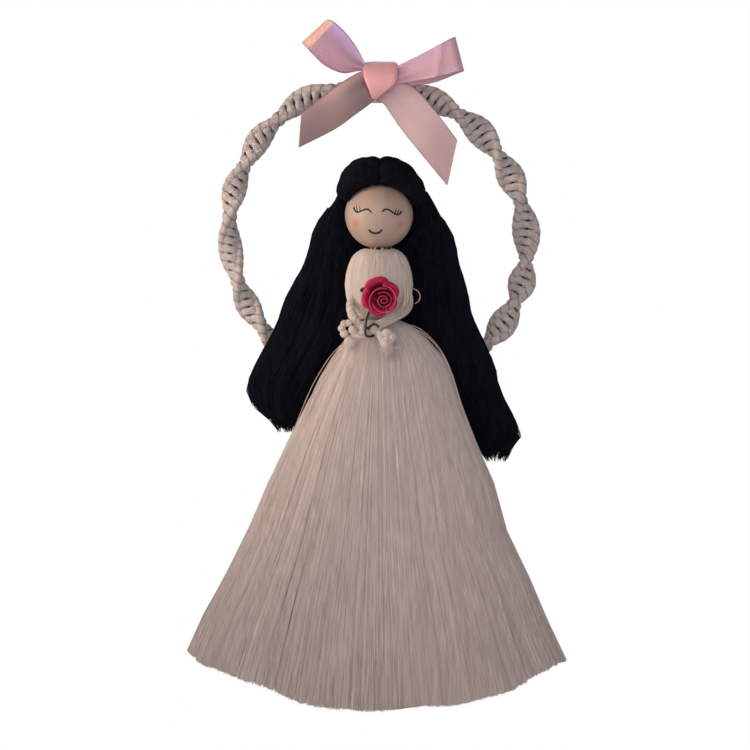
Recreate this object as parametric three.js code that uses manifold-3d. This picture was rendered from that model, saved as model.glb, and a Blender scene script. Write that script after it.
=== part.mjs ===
// Hanging macrame doll on a knotted hoop. Millimetres, +Z up, the doll faces -Y.
// The origin is the point the hoop hangs from: the underside of the bow band at the top of the hoop.
import * as THREE from "three";
import Module from "manifold-3d";

// Clearance between pieces that touch
const GAP = 0.3;

// Hoop
const HOOP_RADIUS = 55;
const CORE_WIRE = 1.5;
const CORD_WIDTH = 2.9;
const CORD_THICKNESS = 1.5;
const SENNIT_WIDTH = 10;
const KNOTS = 96;
const KNOTS_PER_HALF_TWIST = 6;

// Bow
const RIBBON_WIDTH = 13;
const RIBBON_THICKNESS = 0.6;
const BOW_KNOT_PAD = 5.6;
const BOW_SHIFT = 0.8;
const KNOT_TILT = 40;

// Head and bodice
const BEAD_DIAMETER = 25;
const BEAD_BORE = 7;
const BODICE_HEIGHT = 25.3;
const BODICE_WIDTH = 24.6;
const BODICE_DEPTH = 21.6;
const WAIST_DIAMETER = 12.4;
const TIE_CORD = 2;
const TIE_TURNS = 2;
const TIE_SPACE = 0.45;

// Hair
const CAP_THICKNESS = 2.4;
const ROLL_RADIUS = 4.9;
const CROWN_TILT = 25;
const CAP_SPREAD = 68;
const HAIRLINE_SPREAD = 90;

// Skirt
const SKIRT_LENGTH = 141;
const SKIRT_WIDTH = 139;
const SKIRT_DEPTH = 58;
const HEM_RISE = 22;
const FLUTES = 13;

// Arms, hands and rose
const ARM_CORD = 3.7;
const HAND_KNOT = 2.6;
const LEFT_HAND_KNOT = 2.2;
const ROSE_SHEET = 0.5;
const PETAL_FOOT = -0.9;
const STEM_WIRE = 0.9;

// How far the doll stands in front of the hoop, and its waist below the hoop centre
const DOLL_FORWARD = 26;
const WAIST_DROP = 32;
const LASHING_CORD = 2;

// Sizes that follow from those above
const BAND_INNER = SENNIT_WIDTH / 2 + 2 * GAP;
const BAND_OUTER = BAND_INNER + RIBBON_THICKNESS;
const BEAD_R = BEAD_DIAMETER / 2;
const BORE_R = BEAD_BORE / 2;
const WAIST_R = WAIST_DIAMETER / 2;
const TIE_PITCH = TIE_CORD + TIE_SPACE;
const TIE_HALF = (TIE_TURNS * TIE_PITCH + TIE_CORD) / 2;
const BODICE_TOP = TIE_HALF + 2 * GAP + BODICE_HEIGHT;
const HEAD_Z = BODICE_TOP + GAP + Math.sqrt(BEAD_R ** 2 - BORE_R ** 2);
const CAP_R = BEAD_R + GAP + CAP_THICKNESS;
const ARM_R = ARM_CORD / 2;

const wasm = await Module();
wasm.setup();

const COLOURS = {
  cotton: "#d9c4b4",
  wire: "#8f8f8c",
  bead: "#d8b08e",
  hair: "#17171d",
  satin: "#dea4ab",
  petal: "#9c1f42",
  leaf: "#3d5a34",
  stem: "#232b22",
};

const v3 = (x, y, z) => new THREE.Vector3(x, y, z);
const degrees = THREE.MathUtils.degToRad;

// Value of a table of [place, value] rows at one place, straight between rows
function along(table, at) {
  let k = 1;
  while (k < table.length - 1 && table[k][0] < at) {
    k += 1;
  }
  const [x0, y0] = table[k - 1];
  const [x1, y1] = table[k];
  const share = THREE.MathUtils.clamp((at - x0) / (x1 - x0), 0, 1);
  return y0 + (y1 - y0) * share;
}

// A closed surface from points and faces: coinciding points are joined, and it is turned to face out
function closedSurface(points, faces) {
  const ids = new Map();
  const kept = [];
  const idOf = points.map((p) => {
    const key = [p.x, p.y, p.z].map((c) => Math.round(c * 1000)).join(" ");
    if (!ids.has(key)) {
      ids.set(key, kept.length);
      kept.push(p);
    }
    return ids.get(key);
  });
  let index = [];
  let volume = 0;
  for (const face of faces) {
    const [a, b, c] = face.map((k) => idOf[k]);
    if (a !== b && b !== c && c !== a) {
      index.push([a, b, c]);
      volume += kept[a].dot(kept[b].clone().cross(kept[c]));
    }
  }
  if (volume < 0) {
    index = index.map(([a, b, c]) => [a, c, b]);
  }
  const geometry = new THREE.BufferGeometry().setFromPoints(kept);
  geometry.setIndex(index.flat());
  geometry.computeVertexNormals();
  return geometry;
}

// A solid through a row of closed rings of points, with its two ends capped
function loft(rings) {
  const n = rings[0].length;
  const points = rings.flat();
  const faces = [];
  for (let i = 0; i + 1 < rings.length; i += 1) {
    for (let j = 0; j < n; j += 1) {
      const a = i * n + j;
      const b = i * n + ((j + 1) % n);
      faces.push([a, b, b + n], [a, b + n, a + n]);
    }
  }
  const last = (rings.length - 1) * n;
  const first = points.length;
  for (const [ring, base, turn] of [[rings[0], 0, true], [rings.at(-1), last, false]]) {
    const middle = ring.reduce((sum, p) => sum.add(p), v3(0, 0, 0)).divideScalar(n);
    points.push(middle);
    const centre = base === 0 ? first : first + 1;
    for (let j = 0; j < n; j += 1) {
      const a = base + j;
      const b = base + ((j + 1) % n);
      faces.push(turn ? [b, a, centre] : [a, b, centre]);
    }
  }
  return closedSurface(points, faces);
}

// A thick sheet between an outer and an inner grid of points; a wrapped one closes on itself
function sheet(outer, inner, wrap = false) {
  const rows = outer.length;
  const columns = outer[0].length;
  const points = [...outer.flat(), ...inner.flat()];
  const under = rows * columns;
  const at = (i, j) => i * columns + (j % columns);
  const across = wrap ? columns : columns - 1;
  const faces = [];
  const quad = (a, b, c, d) => faces.push([a, b, c], [a, c, d]);
  for (let j = 0; j < across; j += 1) {
    for (let i = 0; i + 1 < rows; i += 1) {
      quad(at(i, j), at(i, j + 1), at(i + 1, j + 1), at(i + 1, j));
      quad(under + at(i, j), under + at(i + 1, j), under + at(i + 1, j + 1), under + at(i, j + 1));
    }
    const end = rows - 1;
    quad(at(0, j + 1), at(0, j), under + at(0, j), under + at(0, j + 1));
    quad(at(end, j), at(end, j + 1), under + at(end, j + 1), under + at(end, j));
  }
  if (!wrap) {
    for (let i = 0; i + 1 < rows; i += 1) {
      const side = columns - 1;
      quad(at(i, 0), at(i + 1, 0), under + at(i + 1, 0), under + at(i, 0));
      quad(at(i + 1, side), at(i, side), under + at(i, side), under + at(i + 1, side));
    }
  }
  return closedSurface(points, faces);
}

// A round cord along a curve
function cord(curve, radius, steps, sides = 8) {
  const circle = new THREE.Shape();
  for (let k = 0; k < sides; k += 1) {
    const turn = (2 * Math.PI * k) / sides;
    const place = [radius * Math.cos(turn), radius * Math.sin(turn)];
    if (k === 0) {
      circle.moveTo(...place);
    } else {
      circle.lineTo(...place);
    }
  }
  circle.closePath();
  return new THREE.ExtrudeGeometry(circle, { steps, extrudePath: curve, bevelEnabled: false });
}

const smooth = (points) => new THREE.CatmullRomCurve3(points, false, "centripetal");

// Solids for cutting one body with another
function solidOf(geometry) {
  const position = geometry.getAttribute("position");
  const points = [];
  for (let k = 0; k < position.count; k += 1) {
    points.push(v3(0, 0, 0).fromBufferAttribute(position, k));
  }
  const order = geometry.index ? Array.from(geometry.index.array) : points.map((p, k) => k);
  const faces = [];
  for (let k = 0; k < order.length; k += 3) {
    faces.push(order.slice(k, k + 3));
  }
  const whole = closedSurface(points, faces);
  const mesh = new wasm.Mesh({
    numProp: 3,
    vertProperties: whole.getAttribute("position").array,
    triVerts: new Uint32Array(whole.index.array),
  });
  return new wasm.Manifold(mesh);
}

function cutFrom(body, tool) {
  const mesh = solidOf(body).subtract(solidOf(tool)).getMesh();
  const geometry = new THREE.BufferGeometry();
  geometry.setAttribute("position", new THREE.BufferAttribute(mesh.vertProperties, mesh.numProp));
  geometry.setIndex(Array.from(mesh.triVerts));
  geometry.computeVertexNormals();
  return geometry;
}

function piece(group, name, geometry, colour) {
  const material = new THREE.MeshStandardMaterial({ color: COLOURS[colour], roughness: 0.8 });
  const mesh = new THREE.Mesh(geometry, material);
  mesh.name = name;
  group.add(mesh);
  return mesh;
}

// Least distance between points of a wound cord that lie more than one turn apart, less its thickness
function printLeastGap(name, points, skip, thickness) {
  let least = Infinity;
  for (let i = 0; i < points.length; i += 1) {
    for (let j = i + skip; j < points.length; j += 1) {
      least = Math.min(least, points[i].distanceTo(points[j]));
    }
  }
  console.log(`${name}: least gap to itself ${(least - thickness).toFixed(2)} mm`);
}

const part = new THREE.Group();
part.name = "macrame_doll";

// The hoop: a wire ring covered by two cords that take turns in front and behind, half a knot apart
const hoop = new THREE.Group();
hoop.position.set(0, 0, BAND_OUTER - HOOP_RADIUS);
part.add(hoop);

const coreRing = new THREE.TorusGeometry(HOOP_RADIUS, CORE_WIRE / 2, 6, 72);
coreRing.rotateX(Math.PI / 2);
piece(hoop, "hoop_core", coreRing, "wire");

const STEPS_PER_TURN = 8;
const SENNIT_BREAK = 0.12;
const KNOT_SPAN = (2 * Math.PI - SENNIT_BREAK) / KNOTS;
const PATH_HALF_WIDTH = SENNIT_WIDTH / 2 - CORD_THICKNESS / 2;
const PATH_HALF_DEPTH = CORE_WIRE / 2 + GAP + CORD_THICKNESS / 2;

// Place on the cord's path: "at" counts knots from the bottom of the hoop
function sennitPlace(at, half) {
  const bearing = -Math.PI / 2 + SENNIT_BREAK / 2 + at * KNOT_SPAN;
  const twist = (-Math.PI * at) / KNOTS_PER_HALF_TWIST;
  const turn = Math.PI * (at + half);
  const wide = PATH_HALF_WIDTH * Math.cos(turn);
  const deep = PATH_HALF_DEPTH * Math.sin(turn);
  const radial = wide * Math.cos(twist) - deep * Math.sin(twist);
  const forward = wide * Math.sin(twist) + deep * Math.cos(twist);
  const reach = HOOP_RADIUS + radial;
  return v3(reach * Math.cos(bearing), -forward, reach * Math.sin(bearing));
}

function sennitCord(name, half) {
  const rings = [];
  const places = [];
  const total = (KNOTS * STEPS_PER_TURN) / 2;
  for (let i = 0; i <= total; i += 1) {
    const at = (2 * i) / STEPS_PER_TURN;
    const place = sennitPlace(at, half);
    const ahead = sennitPlace(at + 0.02, half).sub(sennitPlace(at - 0.02, half)).normalize();
    const bearing = -Math.PI / 2 + SENNIT_BREAK / 2 + at * KNOT_SPAN;
    const ringWay = v3(-Math.sin(bearing), 0, Math.cos(bearing));
    const side = ringWay.clone().addScaledVector(ahead, -ringWay.dot(ahead)).normalize();
    const out = ahead.clone().cross(side);
    const ring = [];
    for (let k = 0; k < 5; k += 1) {
      const turn = (2 * Math.PI * k) / 5;
      const point = place.clone();
      point.addScaledVector(out, (CORD_THICKNESS / 2) * Math.cos(turn));
      point.addScaledVector(side, (CORD_WIDTH / 2) * Math.sin(turn));
      ring.push(point);
    }
    rings.push(ring);
    places.push(place);
  }
  printLeastGap(name, places, STEPS_PER_TURN, CORD_WIDTH);
  piece(hoop, name, loft(rings), "cotton");
  return places;
}

const placesA = sennitCord("hoop_cord_a", 0);
const placesB = sennitCord("hoop_cord_b", 1);
const between = Math.min(...placesA.map((p) => Math.min(...placesB.map((q) => p.distanceTo(q)))));
console.log(`hoop cords: least gap to each other ${(between - CORD_WIDTH).toFixed(2)} mm`);

// The bow, tied round the top of the hoop
const bow = new THREE.Group();
bow.position.set(0, 0, HOOP_RADIUS);
hoop.add(bow);

// Band round the hoop with the tied pad in front; the hoop runs along X here
// Shares of the ribbon's width and of the shift by bearing: 0 is the front and 90 the top
const knotWidths = [
  [-180, 0.6], [-90, 0.5], [-35, 0.36], [-5, 0.62], [30, 1], [65, 1], [100, 0.75], [180, 0.6],
];
const knotShifts = [[-180, 0], [-75, -0.6], [-35, -1.6], [0, 0.2], [35, 1], [180, 0]];
function bowKnotRows(grow) {
  const outer = [];
  const inner = [];
  const around = 24;
  for (const share of [-1, -0.8, 0, 0.8, 1]) {
    const rowOut = [];
    const rowIn = [];
    for (let k = 0; k < around; k += 1) {
      const angle = (360 * k) / around;
      const bearing = angle > 180 ? angle - 360 : angle;
      const turn = degrees(bearing);
      const front = Math.max(0, Math.cos(turn - degrees(KNOT_TILT))) ** 1.5;
      const swell = Math.abs(share) > 0.9 ? 0.72 : 1;
      const reach = BAND_OUTER + BOW_KNOT_PAD * front * swell + grow;
      const middle = BOW_SHIFT * along(knotShifts, bearing);
      const half = (RIBBON_WIDTH / 2) * along(knotWidths, bearing) + grow;
      const x = middle + share * half;
      rowOut.push(v3(x, -reach * Math.cos(turn), reach * Math.sin(turn)));
      rowIn.push(v3(x, -(BAND_INNER - grow) * Math.cos(turn), (BAND_INNER - grow) * Math.sin(turn)));
    }
    outer.push(rowOut);
    inner.push(rowIn);
  }
  return [outer, inner];
}
const [knotOuter, knotInner] = bowKnotRows(0);
piece(bow, "bow_knot", sheet(knotOuter, knotInner, true), "satin");

// A flat ribbon along a path: its width lies square to "way" in the plane of the hoop
function ribbon(path, way, halfWidths, steps) {
  const cross = v3(-way.z, 0, way.x).normalize();
  const outer = [];
  const inner = [];
  for (let i = 0; i <= steps; i += 1) {
    const share = i / steps;
    const place = path.getPoint(share);
    const ahead = path.getTangent(share);
    const face = ahead.clone().cross(cross).normalize();
    const half = along(halfWidths, share);
    const rowOut = [];
    const rowIn = [];
    for (const side of [-1, 0, 1]) {
      const point = place.clone().addScaledVector(cross, side * half);
      rowOut.push(point.clone().addScaledVector(face, RIBBON_THICKNESS / 2));
      rowIn.push(point.clone().addScaledVector(face, -RIBBON_THICKNESS / 2));
    }
    outer.push(rowOut);
    inner.push(rowIn);
  }
  return sheet(outer, inner);
}

// Ribbon ends start inside the knot and are cut off where they leave it
const knotRoom = sheet(...bowKnotRows(1.4 * GAP), true);

// A loop leaves the knot at the back, turns at its far end and comes back in front
function bowLoop(name, root, way, length, narrow) {
  const lift = 0.75;
  const points = [];
  const outline = [[0, 0], [0.25, 0.7], [0.62, 2.2], [0.9, 1.7], [1, 0]];
  for (const [share, rise] of outline) {
    points.push(root.clone().addScaledVector(way, share * length).add(v3(0, lift + rise, 0)));
  }
  for (const [share, rise] of outline.slice(0, -1).reverse()) {
    points.push(root.clone().addScaledVector(way, share * length).add(v3(0, -lift - rise, 0)));
  }
  points[4].y = root.y;
  const full = RIBBON_WIDTH / 2;
  const tight = full * narrow;
  const widths = [[0, tight], [0.34, full * 0.97], [0.5, full], [0.66, full * 0.97], [1, tight]];
  piece(bow, name, cutFrom(ribbon(smooth(points), way, widths, 24), knotRoom), "satin");
}
bowLoop("bow_loop_left", v3(-5, -7, 7.4), v3(-0.775, 0, 0.632), 23.6, 0.34);
bowLoop("bow_loop_right", v3(5.4, -7.4, 5.2), v3(0.947, 0, 0.321), 26.2, 0.5);

function bowTail(name, points) {
  const way = points.at(-1).clone().sub(points[0]).setY(0).normalize();
  const full = RIBBON_WIDTH / 2;
  const widths = [[0, full * 0.62], [0.35, full * 0.95], [1, full]];
  piece(bow, name, cutFrom(ribbon(smooth(points), way, widths, 12), knotRoom), "satin");
}
const TAIL_FRONT = -BAND_OUTER - BOW_KNOT_PAD * 0.6;
const TAIL_BACK = -BAND_INNER - RIBBON_THICKNESS;
bowTail("bow_tail_left", [
  v3(-3.6, TAIL_FRONT + 0.6, 2.8),
  v3(-12.5, TAIL_FRONT - 1.4, -2.6),
  v3(-20.5, TAIL_FRONT - 0.4, -8.6),
  v3(-29.3, TAIL_FRONT - 1, -14.2),
]);
bowTail("bow_tail_right", [
  v3(2.2, TAIL_BACK, 0.2),
  v3(11.6, TAIL_BACK - 0.8, -9.2),
  v3(19.6, TAIL_BACK - 2.6, -17.6),
  v3(27.1, TAIL_BACK - 1.6, -26.2),
]);

// The doll: its own origin is the middle of the waist
const doll = new THREE.Group();
doll.position.set(0, -DOLL_FORWARD, -WAIST_DROP);
hoop.add(doll);

// Head bead, drilled from top to bottom
function beadProfile() {
  const start = Math.acos(BORE_R / BEAD_R);
  const points = [];
  for (let k = 0; k <= 14; k += 1) {
    const lean = -start + (2 * start * k) / 14;
    points.push(new THREE.Vector2(BEAD_R * Math.cos(lean), BEAD_R * Math.sin(lean)));
  }
  points.push(points[0].clone());
  return points;
}
const bead = new THREE.LatheGeometry(beadProfile(), 28);
bead.rotateX(Math.PI / 2);
bead.translate(0, 0, HEAD_Z);
piece(doll, "head_bead", bead, "bead");

// Neck cords: a round bundle of seven through the bead and the bodice
const neckTop = HEAD_Z + Math.sqrt(BEAD_R ** 2 - BORE_R ** 2);
const neckRings = [];
for (const z of [GAP / 2, neckTop]) {
  const ring = [];
  for (let k = 0; k < 28; k += 1) {
    const turn = (2 * Math.PI * k) / 28;
    const reach = BORE_R - GAP - 0.12 + 0.12 * Math.cos(7 * turn);
    ring.push(v3(reach * Math.cos(turn), reach * Math.sin(turn), z));
  }
  neckRings.push(ring);
}
piece(doll, "neck_cords", loft(neckRings), "cotton");

// Bodice: strands drawn down over the neck, wide at the chest and gathered through the waist tie
const bodiceOutline = [
  [GAP / 2, WAIST_R],
  [TIE_HALF + GAP, WAIST_R],
  [TIE_HALF + 2 * GAP, (BODICE_WIDTH / 2) * 0.7],
  [TIE_HALF + 2 * GAP + BODICE_HEIGHT * 0.13, (BODICE_WIDTH / 2) * 0.87],
  [TIE_HALF + 2 * GAP + BODICE_HEIGHT * 0.34, (BODICE_WIDTH / 2) * 0.975],
  [TIE_HALF + 2 * GAP + BODICE_HEIGHT * 0.5, BODICE_WIDTH / 2],
  [TIE_HALF + 2 * GAP + BODICE_HEIGHT * 0.7, (BODICE_WIDTH / 2) * 0.935],
  [TIE_HALF + 2 * GAP + BODICE_HEIGHT * 0.85, (BODICE_WIDTH / 2) * 0.8],
  [TIE_HALF + 2 * GAP + BODICE_HEIGHT * 0.95, (BODICE_WIDTH / 2) * 0.6],
  [BODICE_TOP, BORE_R + 1.6],
];
const bodiceRings = bodiceOutline.map(([z, half]) => {
  const ring = [];
  const chest = THREE.MathUtils.smoothstep(half, WAIST_R, BODICE_WIDTH / 2);
  const depthShare = 1 + (BODICE_DEPTH / BODICE_WIDTH - 1) * chest;
  for (let k = 0; k < 36; k += 1) {
    const turn = (2 * Math.PI * k) / 36;
    const reach = half * (1 + 0.02 * chest * Math.cos(12 * turn));
    ring.push(v3(reach * Math.cos(turn), reach * depthShare * Math.sin(turn), z));
  }
  return ring;
});
const bodiceBore = new THREE.CylinderGeometry(BORE_R, BORE_R, 4 * BODICE_HEIGHT, 28);
bodiceBore.rotateX(Math.PI / 2);
piece(doll, "bodice", cutFrom(loft(bodiceRings), bodiceBore), "cotton");

// Waist tie, wound round the strands
const tiePoints = [];
const tieSteps = TIE_TURNS * 24;
const tieReach = WAIST_R + GAP + TIE_CORD / 2;
for (let k = 0; k <= tieSteps; k += 1) {
  const turn = (2 * Math.PI * k) / 24 + Math.PI / 2;
  const z = -TIE_HALF + TIE_CORD / 2 + (TIE_PITCH * k) / 24;
  tiePoints.push(v3(tieReach * Math.cos(turn), tieReach * Math.sin(turn), z));
}
printLeastGap("waist_tie", tiePoints, 12, TIE_CORD);
piece(doll, "waist_tie", cord(smooth(tiePoints), TIE_CORD / 2, tieSteps, 6), "cotton");

// Skirt: half the width on each side by depth below the waist, as shares of the width and the length
const leftOutline = [
  [0.0, 0.09], [0.018, 0.09], [0.025, 0.165], [0.089, 0.265], [0.156, 0.354], [0.22, 0.413],
  [0.262, 0.442], [0.32, 0.508], [0.447, 0.63], [0.58, 0.752], [0.71, 0.885], [0.82, 0.965], [1, 0.98],
];
const rightOutline = [
  [0.0, 0.09], [0.018, 0.09], [0.025, 0.245], [0.073, 0.353], [0.126, 0.4], [0.175, 0.423],
  [0.265, 0.479], [0.355, 0.576], [0.447, 0.65], [0.58, 0.73], [0.71, 0.86], [0.83, 0.96], [1, 0.97],
];
const depthOutline = [
  [0.0, 0.2], [0.018, 0.2], [0.025, 0.29], [0.1, 0.38], [0.2, 0.44], [0.45, 0.62], [0.7, 0.84], [1, 1.0],
];
const SKIRT_TOP = TIE_HALF + 2 * GAP;
const hemRadius = ((SKIRT_WIDTH / 2) ** 2 + HEM_RISE ** 2) / (2 * HEM_RISE);

function skirtPlace(drop, share, turn) {
  const across = Math.cos(turn);
  const hemX = (across * SKIRT_WIDTH) / 2;
  const hem = SKIRT_LENGTH - hemRadius + Math.sqrt(hemRadius ** 2 - hemX ** 2);
  const z = drop * (1 - share + (share * hem) / SKIRT_LENGTH);
  const reach = THREE.MathUtils.smoothstep(z, TIE_HALF, SKIRT_TOP);
  const down = Math.max(z - SKIRT_TOP, 0) / (SKIRT_LENGTH - SKIRT_TOP) + 0.025;
  const outline = across < 0 ? leftOutline : rightOutline;
  const flute = 1 + 0.03 * reach * Math.cos(2 * FLUTES * turn) * Math.min(1, 0.4 + down);
  const wide = (along(outline, down) * SKIRT_WIDTH) / 2;
  const deep = (along(depthOutline, down) * SKIRT_DEPTH) / 2;
  const halfWide = WAIST_R + (Math.max(wide, WAIST_R) * flute - WAIST_R) * reach;
  const halfDeep = WAIST_R + (Math.max(deep, WAIST_R) * flute - WAIST_R) * reach;
  return v3(halfWide * across, halfDeep * Math.sin(turn), -z);
}

function skirtHalf(front) {
  const levels = [0.057, 0.099, 0.156, 0.241, 0.355, 0.496, 0.674, 0.837, 1];
  const drops = [GAP / 2, TIE_HALF + 0.01, SKIRT_TOP, ...levels.map((share) => share * SKIRT_LENGTH)];
  const rings = drops.map((drop, level) => {
    const share = THREE.MathUtils.clamp((level - 3) / (drops.length - 4), 0, 1);
    const ring = [];
    const steps = 3 * FLUTES;
    for (let k = 0; k <= steps; k += 1) {
      const point = skirtPlace(drop, share, (Math.PI * k) / steps);
      point.y = GAP / 2 + Math.max(point.y, 0);
      ring.push(point);
    }
    const right = ring[0].clone();
    const left = ring.at(-1).clone();
    for (let k = 1; k < 6; k += 1) {
      const point = left.clone().lerp(right, k / 6);
      const turn = Math.acos(THREE.MathUtils.clamp((-1 + k / 3), -1, 1));
      point.z = skirtPlace(drop, share, turn).z;
      ring.push(point);
    }
    return ring;
  });
  const hem = rings.at(-1);
  for (const share of [2 / 3, 1 / 3]) {
    rings.push(
      hem.map((p) => {
        const x = p.x * share;
        const y = SKIRT_DEPTH / 4 + (p.y - SKIRT_DEPTH / 4) * share;
        return v3(x, y, hemRadius - SKIRT_LENGTH - Math.sqrt(hemRadius ** 2 - x ** 2));
      }),
    );
  }
  return loft(front ? rings.map((ring) => ring.map((p) => v3(p.x, -p.y, p.z))) : rings);
}
piece(doll, "skirt_front", skirtHalf(true), "cotton");
piece(doll, "skirt_back", skirtHalf(false), "cotton");

// Hoop lashing: a loop of cord from the back of the waist round the bare wire where the cover ends
const lashReach = CORE_WIRE / 2 + 1.3 * GAP + LASHING_CORD / 2;
const lashWaist = tieReach + TIE_CORD / 2 + GAP + LASHING_CORD / 2;
const lashLean = LASHING_CORD * 0.3;
const lashPoints = [v3(-lashLean, lashWaist + 0.2, -LASHING_CORD * 0.62)];
for (let k = 0; k <= 8; k += 1) {
  const turn = degrees(-135 + k * 34);
  const y = DOLL_FORWARD + lashReach * Math.cos(turn);
  const z = WAIST_DROP - HOOP_RADIUS + lashReach * Math.sin(turn);
  lashPoints.push(v3(lashLean * (k / 4 - 1), y, z));
}
lashPoints.push(v3(lashLean, lashWaist + 0.2, LASHING_CORD * 0.62));
piece(doll, "hoop_lashing", cord(smooth(lashPoints), LASHING_CORD / 2, 40, 8), "cotton");

// Hair cap: a shell over the crown and the back of the bead
const crown = v3(0, Math.cos(degrees(CROWN_TILT)), Math.sin(degrees(CROWN_TILT)));
const crownUp = v3(0, -Math.sin(degrees(CROWN_TILT)), Math.cos(degrees(CROWN_TILT)));
const headPlace = v3(0, 0, HEAD_Z);

// Place at an angle from the crown and a turn round it, at a distance from the middle of the bead
function onHead(spread, turn, reach) {
  const place = crown.clone().multiplyScalar(Math.cos(spread));
  place.addScaledVector(crownUp, Math.sin(spread) * Math.cos(turn));
  place.x = Math.sin(spread) * Math.sin(turn);
  return place.multiplyScalar(reach).add(headPlace);
}
const capOuter = [];
const capInner = [];
for (let i = 0; i <= 5; i += 1) {
  const rowOut = [];
  const rowIn = [];
  for (let k = 0; k < 24; k += 1) {
    const spread = degrees((CAP_SPREAD * i) / 5);
    const turn = (2 * Math.PI * k) / 24;
    rowOut.push(onHead(spread, turn, CAP_R));
    rowIn.push(onHead(spread, turn, BEAD_R + 1.4 * GAP));
  }
  capOuter.push(rowOut);
  capInner.push(rowIn);
}
piece(doll, "hair_cap", sheet(capOuter, capInner, true), "hair");

// Rolled twists of hair from the parting to the temples.
// Shape rows are shares of the way along and of the full radius.
function hairRoll(name, side, lastTurn, shape) {
  const rings = [];
  const steps = 15;
  const seat = BEAD_R + 1.2 * GAP;
  const start = Math.asin((2 * GAP) / (seat + ROLL_RADIUS * shape[0][1]));
  const spread = degrees(HAIRLINE_SPREAD);
  for (let i = 0; i <= steps; i += 1) {
    const share = i / steps;
    const radius = ROLL_RADIUS * along(shape, share);
    const reach = seat + radius;
    const turn = side * (start + (degrees(lastTurn) - start) * share);
    const place = onHead(spread, turn, reach);
    const ahead = onHead(spread, turn + side * 0.01, reach).sub(place).normalize();
    const out = place.clone().sub(headPlace).normalize();
    const across = ahead.clone().cross(out).normalize();
    const ring = [];
    for (let k = 0; k < 10; k += 1) {
      const angle = (2 * Math.PI * k) / 10;
      const lobe = radius * (0.96 + 0.04 * Math.cos(2 * (angle - side * share * 5)));
      const point = place.clone().addScaledVector(out, lobe * Math.cos(angle));
      ring.push(point.addScaledVector(across, lobe * Math.sin(angle)));
    }
    rings.push(ring);
  }
  piece(doll, name, loft(rings), "hair");
}
hairRoll("hair_roll_left", -1, 65, [
  [0, 0.92], [0.12, 1], [0.45, 0.84], [0.7, 0.66], [0.92, 0.58], [1, 0.3],
]);
hairRoll("hair_roll_right", 1, 69, [
  [0, 0.92], [0.12, 1], [0.45, 0.88], [0.7, 0.78], [0.92, 0.68], [1, 0.4],
]);

// Falls of hair; each row is height, outer edge, inner edge, depth of the middle and half thickness.
// Upper rows count from the middle of the bead and the temple, lower ones from the waist and the back.
// They are drawn for a 25 mm bead and grow with it.
const templeX = CAP_R + 0.5;
const bodiceBack = BODICE_DEPTH / 2;
const hairUnit = BEAD_DIAMETER / 25;
function hairFall(name, side, upper, lower) {
  const rows = [];
  for (const row of upper) {
    const [z, outer, inner, deep, thick] = row.map((value) => value * hairUnit);
    rows.push([HEAD_Z + z, templeX + outer, templeX + inner, deep, thick]);
  }
  for (const row of lower) {
    const [z, outer, inner, deep, thick] = row.map((value) => value * hairUnit);
    rows.push([z, outer, inner, bodiceBack + deep, thick]);
  }
  const rings = rows.map(([z, outer, inner, deep, thick]) => {
    const ring = [];
    for (let k = 0; k < 18; k += 1) {
      const turn = (2 * Math.PI * k) / 18;
      const x = (outer + inner) / 2 + ((outer - inner) / 2) * Math.cos(turn);
      ring.push(v3(side * x, deep + thick * Math.sin(turn), z));
    }
    return ring;
  });
  piece(doll, name, loft(rings), "hair");
}
hairFall(
  "hair_fall_left",
  -1,
  [
    [3, 2.8, 0.8, 5.2, 1.0],
    [1.6, 3.9, -0.8, 5.4, 2.2],
    [-3.4, 7.3, -2.5, 6.0, 2.8],
    [-8, 9, -6, 8.0, 3.4],
    [-12, 10, -10.4, 11, 3.6],
  ],
  [
    [22, 27.5, 4, 4.2, 3.6],
    [10, 34.2, 1.2, 5.0, 3.8],
    [0, 38.5, 3.2, 4.7, 4.2],
    [-12, 43.8, 8, 4.4, 4.4],
    [-22, 47.4, 15, 4.4, 4.4],
    [-29, 45.6, 23, 4.4, 4.0],
    [-36, 37, 30, 4.4, 2.2],
  ],
);
hairFall(
  "hair_fall_right",
  1,
  [
    [3.2, 3.4, 0.8, 5.2, 1.0],
    [1.8, 5.6, -0.8, 5.4, 2.4],
    [-3.4, 9.2, -2.5, 6.0, 2.8],
    [-8, 11.4, -6, 8.0, 3.4],
    [-12, 12.2, -10.4, 11, 3.6],
  ],
  [
    [22, 28.6, 4, 4.2, 3.6],
    [10, 32.8, 1.2, 5.0, 3.8],
    [0, 36, 3.2, 4.7, 4.2],
    [-12, 40.8, 8, 4.4, 4.4],
    [-22, 43.3, 14, 4.4, 4.4],
    [-32, 48, 21, 4.4, 4.2],
    [-40, 51.4, 30, 4.4, 3.6],
    [-46.5, 47, 38, 4.4, 2.0],
  ],
);

// Arms: cords from the shoulders down the front of the bodice to the wrists
const SHOULDER_X = 7.2;
const SHOULDER_Y = -BODICE_DEPTH * 0.36;
const SHOULDER_Z = BODICE_TOP - 2.4;
const WRIST_Y = -BODICE_DEPTH / 2 - GAP - ARM_R - 1.2;
const WRIST_Z = -0.4;
const sideX = BODICE_WIDTH * 0.355 + ARM_R;
const sideY = -BODICE_DEPTH * 0.33 - ARM_R;
const rightArm = smooth([
  v3(SHOULDER_X, SHOULDER_Y - ARM_R, SHOULDER_Z),
  v3(sideX - 1, sideY - 0.4, SHOULDER_Z - 6.4),
  v3(sideX, sideY - 0.1, SHOULDER_Z - 13.5),
  v3(sideX - 0.3, sideY - 1, 8),
  v3(6.5, WRIST_Y + 0.4, 3.6),
  v3(1.5, WRIST_Y, WRIST_Z + 0.8),
  v3(-1.6, WRIST_Y, WRIST_Z),
  v3(-4.2, WRIST_Y, WRIST_Z - 0.1),
]);
piece(doll, "arm_right", cord(rightArm, ARM_R, 22, 7), "cotton");

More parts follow.
